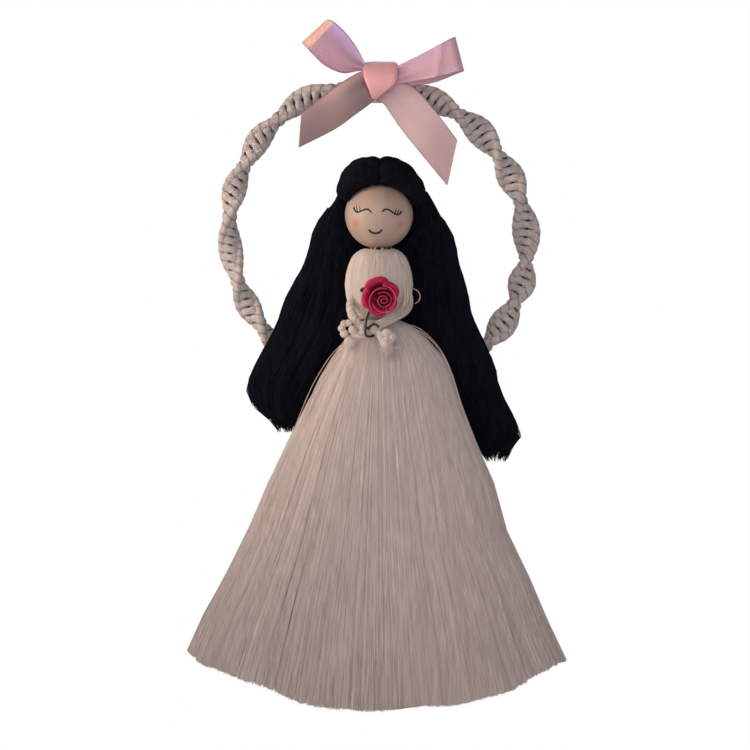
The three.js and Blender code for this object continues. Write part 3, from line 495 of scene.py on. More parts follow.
arms = {
    "right": [(5.8, -6.2, 27.2), (8.6, -6.0, 20.8), (10.2, -6.2, 14.2), (10.7, -7.6, 9), (9.4, -10.6, 6.4),
              (5.8, -13.4, 4.2), (2.4, -14.0, 2.4), (0.0, -14.2, 0.9), (-1.6, -14.2, 0.0), (-2.4, -14.2, -0.6)],
    "left": [(-9.6, -5.2, 11.6), (-10.5, -6.8, 9.2), (-10.3, -8.8, 6.9), (-9.5, -10.8, 4.3), (-8.0, -12.8, 2.0),
             (-6.2, -14.2, 0.0), (-5.8, -14.8, -1.5), (-7.0, -15.3, -2.8), (-9.0, -15.3, -3.5)],
    "radius": 1.85, "strands": 90, "thick": 0.42, "knotThick": 0.46, "tuft": 100, "tuftEnds": 9,
    "tuftThick": 0.34, "loopThick": 0.26, "plyThick": 1.8, "steps": 44,
    "ball": (-10.4, -14.9, -5.35, 2.4, 70),
    "lobes": [(-13.7, -14.6, -0.2, 1.25), (-12.8, -14.8, 1.5, 1.2), (-11.1, -15.0, 1.8, 1.2),
              (-12.7, -15.0, -2.1, 1.4), (-9.6, -15.2, -0.7, 1.5), (-8.6, -15.3, -2.7, 1.5)],
    "lumps": [(-1.7, -14.2, -0.7, 1.6), (0.1, -14.6, -1.9, 1.3), (1.2, -15.0, -3.3, 1.7), (3.0, -15.3, -2.0, 1.8),
              (4.7, -15.1, -3.4, 1.7), (2.8, -15.3, -5.2, 2.3)],
    "loop": [(12.6, -8, 14.6), (14.6, -8.2, 13.2), (15.1, -8.3, 11.4), (14.5, -8.3, 9.8), (13.2, -8.2, 8.9)],
}


def ballStrands(x, y, z, radius, count=None):  # cord wound into a ball
    strands = []
    for k in range(count or int(20 * radius)):
        pole = unit(rng.normal(size=3))
        side = unit(np.cross(pole, [0.3, 0.9, 0.1]))
        turn = np.linspace(0, fullTurn * rng.uniform(0.6, 1), 18)
        level = rng.uniform(-0.35, 0.35)
        ring = np.sqrt(1 - level**2) * around(turn, side, np.cross(pole, side)) + level * pole
        strands.append(fromDoll(*(ring * radius * rng.uniform(0.93, 1.02) + [x, y, z]).T))
    return strands


def buildHand(side, balls):
    strands = [strand for ball in balls for strand in ballStrands(*ball)]
    picks = rng.integers(0, 2, len(strands))
    strandPiece(f"hand_{side}_knot", strands, arms["knotThick"], bodiceTones[:2], [f"hand_{side}"], picks, 0.9,
                body=f"{side}_arm")


def buildTuft():
    tuft = []
    for k in range(arms["tuft"]):
        if k < arms["tuftEnds"]:
            goal = rng.normal([7.9, -15.2, -7.9], [0.3, 0.2, 0.15])
            start = rng.normal([4.2, -15.4, -7.2], [0.3, 0.3, 0.25])
        else:
            goal = rng.normal([2.8, -14.8, -9.2], [1.3, 0.5, 0.9])
            start = rng.normal([2.6, -15.8, -5.4], [1.2, 0.5, 0.6])
        tuft.append(onDoll([start, (start + goal) / 2 + [0.3, -0.5, 0.4], goal], 8))
    strandPiece("hand_right_tuft", tuft, arms["tuftThick"], [bodiceLight], body="right_arm")


def buildArms():
    strands = bundle(onDoll(arms["right"], arms["steps"]), arms["radius"] * 0.88, arms["strands"], 0.3, 0.3)
    # the right arm takes only the dark, cool shade and shadow tones: painted shade on the arm
    picks = rng.choice([1, 1, 2, 3, 3], arms["strands"])
    strandPiece("arm_right_strands", strands, arms["thick"], bodiceTones[1:], ["arm_right"], picks, 0.9,
                body="right_arm")
    buildHand("right", arms["lumps"])
    buildTuft()
    strands = plies(onDoll(arms["left"], arms["steps"]), arms["radius"], 3.2, 0.35)
    strandPiece("arm_left_plies", strands, arms["plyThick"], [bodiceLight], ["arm_left"], tip=0.9, sides=3,
                body="left_arm")
    buildHand("left", [arms["ball"]] + arms["lobes"])
    loop = [onDoll(arms["loop"], 20)]
    strandPiece("bodice_loose_loop", loop, arms["loopThick"], [bodiceLight], tip=0.8, body="right_arm")
    print("arms and hands tied")


buildArms()

ties = {"waist": 7.5, "pitch": 2.45, "ply": 1.05, "lash": 2.05, "lashAt": (26, -23), "lashEnd": (0.4, 10.0, 1.24),
        "neck": 2.6, "neckCords": 6, "neckThick": 1.1}


def buildTies():
    rounds = np.linspace(0, 2, 120)
    turn = fullTurn * rounds + math.pi / 2
    path = fromDoll(ties["waist"] * np.cos(turn), ties["waist"] * np.sin(turn), ties["pitch"] * (rounds - 1))
    strandPiece("waist_tie_plies", plies(path, 1.0, 26), ties["ply"], [cottonMid], ["waist_tie"], tip=1, sides=2)
    x, y, z = ties["lashEnd"]
    lash = [(x, y, -z)]
    for angle in np.radians(-135 + 34 * np.arange(9)):
        deep, high = ties["lashAt"]
        lash.append((0, deep + ties["lash"] * math.cos(angle), high + ties["lash"] * math.sin(angle)))
    lash.append((x, y, z))
    strands = plies(onDoll(lash, 90), 1.0, 17)
    strandPiece("hoop_lashing_plies", strands, ties["ply"], [cottonMid], ["hoop_lashing"], tip=1, sides=2)
    z = np.linspace(0.3, 53, 10)
    turns = [fullTurn * k / ties["neckCords"] for k in range(ties["neckCords"])]
    neck = [fromDoll(ties["neck"] * math.cos(turn), ties["neck"] * math.sin(turn), z) for turn in turns]
    strandPiece("neck_cords_strands", neck, ties["neckThick"], [cottonMid], ["neck_cords"], tip=1, sides=1)
    print("ties and neck cords laid")


buildTies()


# hoop cover: two cords worked in half knots round the wire

hoop = {"radius": 54.7, "z": -48.8, "knots": 112, "gap": 0.12, "halfWide": 2.65, "halfDeep": 1.95,
        "cordWide": 2.4, "cordFlare": 1.15, "cordThick": 1.75, "dwell": 0.4, "stepsPerKnot": 14, "sides": 12,
        "edgeSteps": 8, "wireSteps": 240, "edgeReach": 3.0, "edgeRadius": 1.6, "wire": 1.5,
        "bound": 0.4, "boundAt": (90, 5.5),  # how far the ribbon pulls in, at what bearing and how wide
        # bearings, and how far the ring is bent there
        "bends": [(-90, -0.2), (-40, 0.2), (-20, 0.25), (0, -0.2), (20, -0.5), (30, -0.6), (40, -0.35), (48, 0.4),
                  (58, 0.5), (68, 1.1), (90, 0.9), (100, 2.3), (108, 3.7), (116, 4.6), (122, 4.4), (128, 3.6),
                  (140, 3.5), (146, 2.4), (160, 2.0), (172, 1.0), (180, 0.4), (186, -0.2), (200, -0.8), (216, -1.3),
                  (230, -0.9), (270, -0.2)],
        # where the spiral shows its edge
        "narrows": [-85, -64, -43, -24, -8, 16, 36, 58, 82, 106, 130, 150.5, 170, 196, 216, 238, 260],
        "widths": [(-70, 1), (-40, 1.22), (55, 1.22), (85, 1)]}


def eased(bearing, at, values):  # a table round the ring with its corners taken off
    return sum(np.interp(np.degrees(bearing) + shift, at, values) for shift in (-4, -2, 0, 2, 4)) / 5


def ringReach(bearing):
    return hoop["radius"] + eased(bearing, *np.array(hoop["bends"]).T)


def sennitTwist(bearing):
    return -math.pi * (0.5 + eased(bearing, hoop["narrows"], np.arange(len(hoop["narrows"]))))


def squeeze(bearing):
    middle, reach = hoop["boundAt"]
    bound = hoop["bound"] * np.exp(-(((np.degrees(bearing) - middle) / reach) ** 2))
    return eased(bearing, *np.array(hoop["widths"]).T) * (1 - bound)


def ringBearing(at):  # knots counted round from the bottom of the hoop
    return -math.pi / 2 + hoop["gap"] / 2 + at * (fullTurn - hoop["gap"]) / hoop["knots"]


def onRing(bearing, reach, forward):
    return np.stack([reach * np.cos(bearing), -forward, reach * np.sin(bearing) + hoop["z"]], axis=-1)


def buildHoopCord(name, half):
    count = hoop["knots"] * hoop["stepsPerKnot"]
    at = np.linspace(0, hoop["knots"], count + 1)
    bearing = ringBearing(at + hoop["dwell"] / fullTurn * np.sin(fullTurn * at))
    twist = sennitTwist(bearing)
    turn = math.pi * (at + half)
    wide = hoop["halfWide"] * np.cos(turn) * squeeze(bearing)
    deep = hoop["halfDeep"] * np.sin(turn)
    reach = ringReach(bearing) + wide * np.cos(twist) - deep * np.sin(twist)
    spots = onRing(bearing, reach, wide * np.sin(twist) + deep * np.cos(twist))
    ringWay = np.stack([-np.sin(bearing), 0 * bearing, np.cos(bearing)], axis=-1)
    ahead = unit(np.gradient(spots, axis=0))
    side = unit(ringWay - ahead * np.sum(ringWay * ahead, axis=1)[:, None])
    out = np.cross(ahead, side)

    def place(u, v):
        i = int(round(u * count))
        ends = 0.25 if i in (0, count) else 1
        flat = hoop["cordWide"] + hoop["cordFlare"] * abs(math.cos(turn[i])) ** 0.7
        rim = out[i] * math.sin(fullTurn * v) * hoop["cordThick"] + side[i] * math.cos(fullTurn * v) * flat
        return spots[i] + rim / 2 * ends

    gridPiece(name, place, count, hoop["sides"], hoopCotton, [name], wrap=True, smooth=0)


def buildHoopEdge(name, half):  # the turned edge that runs along the knots in a long spiral
    count = hoop["knots"] * hoop["edgeSteps"]
    at = np.linspace(0, hoop["knots"], count + 1)
    bearing = ringBearing(at)
    twist = sennitTwist(bearing) + math.pi * half
    away = hoop["edgeReach"] * squeeze(bearing)
    spots = onRing(bearing, ringReach(bearing) + away * np.cos(twist), away * np.sin(twist))
    side, out = framesAlong(spots)

    def place(u, v):
        i = int(round(u * count))
        swell = hoop["edgeRadius"] * (0.3 if i in (0, count) else 0.97 - 0.05 * math.cos(fullTurn * at[i]))
        return spots[i] + swell * (math.cos(fullTurn * v) * side[i] + math.sin(fullTurn * v) * out[i])

    gridPiece(name, place, count, hoop["sides"], hoopEdge, wrap=True, smooth=0)


def buildWire():
    # the wire's dark tone shows through the slits between the cords as painted shade there
    metal = streakMaterial("hoop_wire", (52, 48, 46), (84, 78, 74), 0.6, 0.0, 0.3, 600.0, 600.0)
    metal.node_tree.nodes["Principled BSDF"].inputs["Metallic"].default_value = 1.0

    def place(u, v):
        bearing, turn, radius = fullTurn * u - math.pi / 2, fullTurn * v, hoop["wire"] / 2
        return onRing(bearing, ringReach(bearing) + radius * math.cos(turn), -radius * math.sin(turn))

    gridPiece("hoop_core_bent", place, hoop["wireSteps"], hoop["sides"], metal, ["hoop_core"], wrap=True, smooth=0,
              slotName="hoop_wire")


for half, label in enumerate("ab"):
    buildHoopCord(f"hoop_cord_{label}", half)
for half, label in enumerate("ab"):
    buildHoopEdge(f"hoop_edge_{label}", half)
buildWire()
print("hoop cover worked")


# head bead

bead = {"bore": 2.7, "arc": 40, "spin": 72,
        "cheeks": [(-8.68, 3.38, 1.7), (7.87, 3.82, 1.9)]}


def beadMaterial():
    material, tree, shader, coords = newMaterial("bead_wood", 0.45, 0.0, 0.4)
    streak = streaks(tree, coords, 260.0, 38.0)["Streak"]
    tint = ramp(tree, streak, tone(166, 140, 126), tone(178, 151, 136), 0.25, 0.75)
    for x, low, size in bead["cheeks"]:
        spot = np.array([x, -math.sqrt(beadRadius**2 - x**2 - low**2), -low]) + headMiddle
        reach = put(tree, "VectorMath", {0: coords["Object"], 1: spot * mm}, operation="DISTANCE").outputs["Value"]
        blush = mapRange(tree, reach, size * 0.15 * mm, size * 1.3 * mm, 0.78, 0.0, "SMOOTHSTEP")
        tint = mixTint(tree, blush, tint, tone(206, 98, 92))
    dress(tree, shader, tint, streak, 0.06)
    return material


def buildHead():
    bm = bmesh.new()
    first = math.acos(bead["bore"] / beadRadius)
    leans = [-first + 2 * first * k / bead["arc"] for k in range(bead["arc"] + 1)]
    ring = [bm.verts.new(Vector((math.cos(lean), 0, math.sin(lean))) * beadRadius * mm) for lean in leans]
    edges = [bm.edges.new(pair) for pair in zip(ring, ring[1:] + ring[:1])]
    bmesh.ops.spin(bm, geom=ring + edges, cent=(0, 0, 0), axis=(0, 0, 1), angle=fullTurn,
                   steps=bead["spin"], use_merge=True)
    bmesh.ops.translate(bm, verts=bm.verts, vec=Vector(headMiddle) * mm)
    bmesh.ops.recalc_face_normals(bm, faces=bm.faces)
    finishPiece(meshObject("head_bead_turned", bm), "doll", "bead_wood", ["head_bead"], [beadMaterial()])


buildHead()

face = {  # strokes in millimetres right of and above the middle of the bead
    "eyes": [[(-9.3, 2.5), (-8.68, 1.36), (-7.76, 0.81), (-6.29, 1.36), (-4.67, 1.95), (-3.46, 1.51), (-2.57, 0.51)],
             [(1.1, 0.96), (1.99, 1.73), (2.94, 1.95), (4.19, 1.29), (5.48, 0.4), (6.87, -0.04), (7.87, 0.4),
              (8.57, 1.1)]],
    "lashes": [[(-8.6, 1.43), (-8.98, 2.3), (-9.15, 3.35)], [(-7.76, 0.99), (-8.1, 2.2), (-8.2, 3.64)],
               [(-6.84, 1.21), (-7.05, 2.2), (-7.06, 3.35)], [(5.59, 0.33), (6.1, 1.2), (6.43, 2.21)],
               [(6.36, 0.11), (6.95, 0.95), (7.28, 1.95)], [(7.24, 0.04), (7.75, 0.75), (7.98, 1.58)]],
    "smile": [(-3.68, -5.44), (-2.98, -6.36), (-1.29, -6.84), (0.29, -6.36), (1.03, -5.4)],
}


def onBead(points, count, lift):
    path = smoothPath([(x, 0, z) for x, z in points], count)
    path[:, 1] = -np.sqrt((beadRadius + lift) ** 2 - path[:, 0] ** 2 - path[:, 2] ** 2)
    return path + headMiddle


def buildFace():
    ink = streakMaterial("face_ink", (6, 5, 5), (16, 13, 12), 0.5, 0.0, 0.4, 500.0, 500.0)
    rows = [("eyes", face["eyes"], 26, -0.1, 0.72, 0.6, 2),  # strokes, steps, sunk, thickness, tip, sides
            ("lashes", face["lashes"], 8, -0.05, 0.42, 0.3, 1), ("smile", [face["smile"]], 22, -0.1, 0.92, 0.8, 2)]
    for label, lines, count, lift, thick, tip, sides in rows:
        strokes = [onBead(line, count, lift) for line in lines]
        strandPiece(f"face_{label}", strokes, thick, [ink], tip=tip, sides=sides, slotName="bead_wood")
    print("face painted")


buildFace()


# hair

hair = {
    "tilt": 25.0, "lineSpread": 90.5, "capReach": 15.0, "thick": 0.42, "thickest": 0.5, "templeThick": 0.46,
    "locks": 70, "insets": {"cap": 0.2, "roll": 0.8, "fall": 0.9}, "rollEnds": {"left": 65, "right": 70},
    "left": [(3, 18.5, 16.5, 5.2, 1.0), (1.6, 19.6, 14.9, 5.4, 2.2), (-3.4, 23, 13.2, 6.0, 2.8),
             (-8, 24.7, 9.7, 8.0, 3.4), (-12, 25.7, 5.3, 11, 3.6), (-19.65, 27.5, 4, 15, 3.6),
             (-31.65, 34.2, 1.2, 15.8, 3.8), (-41.65, 38.5, 3.2, 15.5, 4.2), (-53.65, 43.8, 8, 15.2, 4.4),
             (-63.65, 48.8, 15, 15.2, 4.4), (-70.65, 47.6, 23, 15.2, 4.0), (-77.65, 38, 30, 15.2, 2.2)],
    "right": [(3.2, 19.1, 16.5, 5.2, 1.0), (1.8, 21.3, 14.9, 5.4, 2.4), (-3.4, 24.9, 13.2, 6.0, 2.8),
              (-8, 27.1, 9.7, 8.0, 3.4), (-12, 27.9, 5.3, 11, 3.6), (-19.65, 28.6, 4, 15, 3.6),
              (-31.65, 32.8, 1.2, 15.8, 3.8), (-41.65, 36, 3.2, 15.5, 4.2), (-53.65, 40.8, 8, 15.2, 4.4),
              (-63.65, 43.3, 14, 15.2, 4.4), (-73.65, 49.6, 21, 15.2, 4.2), (-81.65, 53.2, 30, 15.2, 3.6),
              (-88.15, 47, 38, 15.2, 2.0)],
    "rollLeft": [(0, 4.2), (0.05, 4.9), (0.12, 5.25), (0.3, 5.4), (0.45, 5.2), (0.6, 4.5), (0.75, 3.6), (0.9, 2.8),
                 (0.97, 2.2), (1, 1.2)],
    "rollRight": [(0, 4.2), (0.05, 4.9), (0.12, 5.25), (0.3, 5.3), (0.45, 5.0), (0.6, 4.4), (0.75, 3.9), (0.9, 3.4),
                  (1, 3.1)],
    "templeIn": [(12.8, 8), (12.7, 3), (12.0, -4), (10.5, -9.5), (7.5, -14)],
    "templeLeft": [(15.2, 7.2), (16.8, 4.2), (21.4, -1.6), (24.1, -9), (25.6, -14)],
    "templeRight": [(17.6, 8.5), (20.2, 4), (23.3, -1.9), (26.6, -9.3), (27.4, -14)],
    "templeDeep": [0.5, 2.5, 5.5, 8.5, 11.5],
    "fallStrands": 1250, "capStrands": 420, "crownStrands": 260, "rollStrands": 170, "templeStrands": 420,
    "backStrands": 420,
}


def onHead(spread, turn, reach):
    tilt = math.radians(hair["tilt"])
    crown = np.array([0, math.cos(tilt), math.sin(tilt)])
    up = np.array([0, -math.sin(tilt), math.cos(tilt)])
    spread, turn = np.broadcast_arrays(spread, turn)
    way = np.cos(spread)[:, None] * crown + (np.sin(spread) * np.cos(turn))[:, None] * up
    way[:, 0] = np.sin(spread) * np.sin(turn)
    return way * np.reshape(reach, (-1, 1)) + headMiddle


def hairCore(kind, name, body="doll"):
    coreOf(f"hair_{name}", hair["insets"][kind], hairDark, body, "hair_yarn")


def hairPiece(name, paths, thick, share=0.5, tip=0.5, body="doll"):  # share of the strands is the lighter black
    strands, picks = [], []
    for path in paths:
        strands.append(path)
        picks.append(0 if rng.uniform() < share else 1)
    strandPiece(f"hair_{name}_strands", strands, thick, hairTones, picks=picks, tip=tip,
                body=body, slotName="hair_yarn")


def fallPath(rows, side, u, v, end, wave):
    rows = np.array(rows, float)
    heights = rows[:, 0]
    z = np.linspace(heights[0] - 0.4, heights[-1] * end, 18)
    outer, inner, deep, thick = (np.interp(-z, -heights, rows[:, k]) for k in (1, 2, 3, 4))
    room = np.interp(z, [heights[-1] * end, heights[-1] * end + 14], [0.85, 1])
    x = (outer + inner) / 2 + (outer - inner) / 2 * u * room
    y = deep + thick * v
    fall = heights[0] - z
    swing = wave[0] * np.sin(fall / wave[1] + wave[2]) * np.minimum(fall / 25, 1)
    return np.stack([side * (x + swing), y + 0.6 * swing, z], axis=1) + [0, headMiddle[1], headMiddle[2]]


def fallPaths(label, side):
    locks = rng.uniform(0, 1, (hair["locks"], 3))
    for k in range(hair["fallStrands"]):
        lock = locks[rng.integers(0, hair["locks"])]
        u = 2 * lock[0] - 1 + rng.normal(0, 0.03)
        edge = math.sqrt(max(0.02, 1 - min(u * u, 0.98)))
        front = 1 if rng.uniform() < 0.42 else -1
        v = front * edge * rng.uniform(0.8, 1.05)
        end = 1.0 - 0.1 * abs(rng.normal()) + 0.04 * lock[1]
        wave = (0.35 + 0.5 * lock[1] + rng.normal(0, 0.15), 4.0 + 3 * lock[2], 6.28 * lock[2] + rng.normal(0, 0.35))
        yield fallPath(hair[label], side, np.clip(u, -1.02, 1.02), v, min(end, 1.03), wave)


def rollPaths(label, side):
    share = np.linspace(0, 1, 22)
    turn = side * (-0.05 + (math.radians(hair["rollEnds"][label]) + 0.05) * share)
    radius = along(hair["rollLeft" if side < 0 else "rollRight"], share)
    path = onHead(math.radians(hair["lineSpread"]), turn, beadRadius + 0.2 + radius)
    out = unit(path - headMiddle)
    across = np.cross(unit(np.gradient(path, axis=0)), out)
    for k in range(hair["rollStrands"]):
        start = fullTurn * (k + rng.uniform(0, 1)) / hair["rollStrands"]
        wind = start - side * fullTurn * 0.55 * share
        reach = radius * (rng.uniform(0.9, 0.99) + 0.035 * math.sin(6 * start))
        yield path + reach[:, None] * around(wind, out, across)


def templePaths(side):  # hair swept back from the roll into the fall
    inner = np.array(hair["templeIn"], float)
    outer = np.array(hair["templeLeft" if side < 0 else "templeRight"], float)
    for k in range(hair["templeStrands"]):
        w = rng.uniform(0, 1)
        edge = math.sqrt(max(0.05, 1 - (2 * w - 1) ** 2))
        row = inner + (outer - inner) * w
        y = np.array(hair["templeDeep"]) + rng.uniform(-1, 1) * 3.0 * edge
        yield smoothPath(np.stack([side * row[:, 0], y, row[:, 1]], axis=1), 11) + headMiddle


def backPaths():  # hair that hangs behind the neck
    for k in range(hair["backStrands"]):
        x = rng.uniform(-1, 1)
        goal = rng.uniform(-34, -22)
        rows = [(13 * x, 14.6 - 5.5 * x * x, -1.5), (12.6 * x, 15.0 - 3.5 * x * x, -8), (11.5 * x, 14.6, -15),
                (11 * x, 15.2, goal)]
        yield smoothPath(np.array(rows) + [0, rng.uniform(-0.9, 0.9), 0], 10) + headMiddle


def capPaths():
    for k in range(hair["capStrands"]):
        side = 1 if k % 2 else -1
        start = math.radians(rng.uniform(-66, 62))
        spread = np.linspace(abs(start), math.radians(rng.uniform(60, 72)), 14)
        base = 0.0 if start > 0 else math.pi
        goal = math.radians(rng.uniform(96, 128))
        turn = side * (base + (goal - base) * np.linspace(0, 1, 14) ** 0.55)
        yield onHead(spread, turn, hair["capReach"] + rng.uniform(-0.1, 0.5))
    for k in range(hair["crownStrands"]):  # combed back from the rolls over the crown
        turn = math.radians(rng.uniform(-72, 72)) * np.linspace(1, 1.25, 10)
        spread = np.linspace(math.radians(rng.uniform(84, 90)), math.radians(rng.uniform(44, 58)), 10)
        reach = np.linspace(beadRadius + rng.uniform(0.6, 3.6), hair["capReach"] + 0.3, 10)
        yield onHead(spread, turn, reach)


bothSides = (("left", -1), ("right", 1))
hairCore("cap", "cap")
hairPiece("cap", capPaths(), hair["thickest"], tip=0.9)
for label, side in bothSides:
    hairCore("roll", f"roll_{label}")
    hairPiece(f"roll_{label}", rollPaths(label, side), hair["thickest"], 0.55, 0.8)
for label, side in bothSides:
    hairPiece(f"temple_{label}", templePaths(side), hair["templeThick"], tip=0.9)
hairPiece("back", backPaths(), hair["thickest"], 0.4)
for label, side in bothSides:
    hairCore("fall", f"fall_{label}", f"{label}_hair")
    hairPiece(f"fall_{label}", fallPaths(label, side), hair["thick"], body=f"{label}_hair")
print("hair laid")


# rose

rose = {
    "middle": (0.5, -19.05, 11.6), "facing": (0.1, -0.97, -0.16), "sheet": 0.4, "swirl": (0.9, -0.8),
    "outer": [(118, 100, 7.9, 3.4), (196, 84, 7.3, 2.5), (262, 92, 7.2, 2.8), (328, 96, 6.7, 2.4), (42, 96, 7.1, 3.0)],
    "inner": [(150, 150, 4.7, 4.5), (275, 150, 4.5, 4.2), (25, 150, 4.6, 4.4)],
    "hook": [(10, -4.9), (-30, -5.0), (-65, -4.5), (-95, -3.4), (-115, -2.3), (-145, -2.0), (-180, -2.6)],
    "hookEnd": [(-3.7, -12.2, -0.3), (-4.3, -14.2, -0.1), (-4.2, -15.9, 0.05)],
    "arch": [(-347, -3.7), (-330, -2.8), (-318, -1.8), (-327, -0.85), (-348, -0.15)],
    "stem": 0.82, "wrist": (-14.15, -0.4, 2.75),  # middle and radius of the round that the wire takes
}
roseTurn = Vector((0, 0, 1)).rotation_difference(Vector(rose["facing"]).normalized()).to_matrix()
rosePlace = Vector(fromDoll(*rose["middle"]))


def petalMaterial():
    material, tree, shader, coords = newMaterial("rose_petal", 0.6, 0.0, 0.12)
    upward = put(tree, "SeparateXYZ", {0: coords["UV"]}).outputs[1]
    streak = streaks(tree, coords, 420.0, 420.0)
    base = ramp(tree, streak["Streak"], tone(150, 24, 58), tone(182, 40, 80))
    # darker towards each petal's foot: painted shade inside the cup of the rose
    footShade = ramp(tree, upward, tone(110, 60, 70), tone(255, 255, 255), 0.1, 0.6)
    # lighter pink at each petal's rim: a painted highlight
    rim = mapRange(tree, upward, 0.88, 1.0, 0.0, 0.42)
    shaded = mixTint(tree, 0.9, base, footShade, "MULTIPLY")
    dress(tree, shader, mixTint(tree, rim, shaded, tone(236, 110, 146)), streak["Patch"], 0.2)
    return material


def fromRose(x, y, z):
    return roseTurn @ Vector((x, y, z)) + rosePlace


def onDisc(reach, turn, z, middle=(0, 0)):
    return fromRose(middle[0] + reach * math.cos(turn), middle[1] + reach * math.sin(turn), z)


def heart(u, v):
    turn = fullTurn * 2.3 * u + 0.6
    reach = 0.3 + 2.9 * u + 0.18 * math.sin(9 * u + 1)
    return onDisc(reach, turn, -0.9 + (5.6 - 0.9 * u + 0.2 * math.sin(turn)) * v, rose["swirl"])


def cupped(angle, span, reach, top, seed):  # upright petals round the heart
    def place(u, v):
        share = 2 * u - 1
        distance = (reach + 0.6 * share) * (0.5 + 0.5 * v**0.7) + 0.25 * v**4
        z = -0.9 + (top * (1 - 0.25 * abs(share) ** 3) + 0.9) * v + 0.15 * math.sin(5 * share + seed) * v
        return onDisc(distance, math.radians(angle + share * span / 2), z, [0.8 * c for c in rose["swirl"]])
    return place


def spread(angle, span, reach, top, seed):  # open petals with a turned-down rim
    def place(u, v):
        share = 2 * u - 1
        lobe = 1 - 0.2 * abs(share) ** 2.4 + 0.025 * math.sin(5 * share + seed)
        rise = math.sin(min(v / 0.72, 1) * math.pi / 2) - 0.35 * max(0.0, (v - 0.72) / 0.28) ** 2
        z = -0.9 + (top + 0.9) * rise + 0.35 * share * v + 0.2 * math.sin(4 * share + 2 * seed) * v
        return onDisc(reach * lobe * (0.36 + 0.64 * v**0.85), math.radians(angle + share * span / 2), z)
    return place


def bed(u, v):  # closes the rose between the petals and the green cup
    return onDisc(4.4 * v, fullTurn * u, -0.2 + 1.2 * v * v)


def calyx(u, v):
    turn = fullTurn * u
    reach = along([(0, 0.05), (0.2, 1.2), (0.6, 3.2), (1, 4.6)], v) * (1 + 0.18 * v * math.cos(5 * turn))
    return onDisc(reach, turn, along([(0, -3.6), (0.2, -3.4), (0.6, -2.5), (1, -1.5)], v))


def leaf(u, v):
    half = along([(0, 0.4), (0.25, 0.9), (0.55, 1.15), (0.8, 0.8), (1, 0.12)], u)
    lift = 0.4 * abs(2 * v - 1) - 0.3 * math.sin(u * 3)
    return fromRose(-5.0 - 2.6 * u, 1.4 + half * (2 * v - 1), -1.6 + 0.6 * u * u + lift)


def roundWrist(bearing, x):
    y, z, radius = rose["wrist"]
    angle = math.radians(bearing)
    return x, y - radius * math.cos(angle), z + radius * math.sin(angle)


def buildStem():
    root, back = (np.array(fromRose(0, 0, z)) - [0, doll["y"], doll["waistZ"]] for z in (-3.9, -5.0))
    points = [root, back, (root[0] - 3, root[1] - 0.2, root[2] - 4.8), (-4.6, -16.5, 3.0)]
    points += [roundWrist(*spot) for spot in rose["hook"]] + rose["hookEnd"]
    points += [roundWrist(*spot) for spot in rose["arch"]]
    wire = streakMaterial("stem_wire", (10, 14, 12), (26, 34, 28), 0.5, 0.0, 0.4, 700.0, 700.0)
    strandPiece("rose_stem_wire", [onDoll(points, 80)], rose["stem"], [wire], ["rose_stem"], tip=1, sides=2,
                body="rose", slotName="stem_wire")


def buildRose():
    red = {"material": petalMaterial(), "thick": rose["sheet"], "body": "rose", "slotName": "rose_petals"}
    gridPiece("rose_heart_rolled", heart, 54, 6, nodes=["rose_heart"], **red)
    for k, row in enumerate(rose["inner"]):
        name = f"rose_petal_inner_{k + 1}"
        gridPiece(f"{name}_cupped", cupped(*row, k), 16, 8, nodes=[name], **red)
    for k, row in enumerate(rose["outer"]):
        name = f"rose_petal_outer_{k + 1}"
        gridPiece(f"{name}_open", spread(*row, k + 5), 18, 10, nodes=[name], **red)
    gridPiece("rose_bed", bed, 30, 6, wrap=True, **red)
    green = streakMaterial("rose_leaf", (34, 50, 30), (74, 96, 60), 0.6, 0.1, 0.3, 500.0, 500.0, "Streak", 0.3)
    leafy = {"material": green, "body": "rose", "slotName": "rose_green"}
    gridPiece("rose_calyx_cup", calyx, 40, 8, nodes=["rose_calyx"], wrap=True, thick=0.4, **leafy)
    gridPiece("rose_leaf_bent", leaf, 14, 6, nodes=["rose_leaf"], thick=0.35, **leafy)
    buildStem()
    print("rose rolled")


buildRose()


# bow

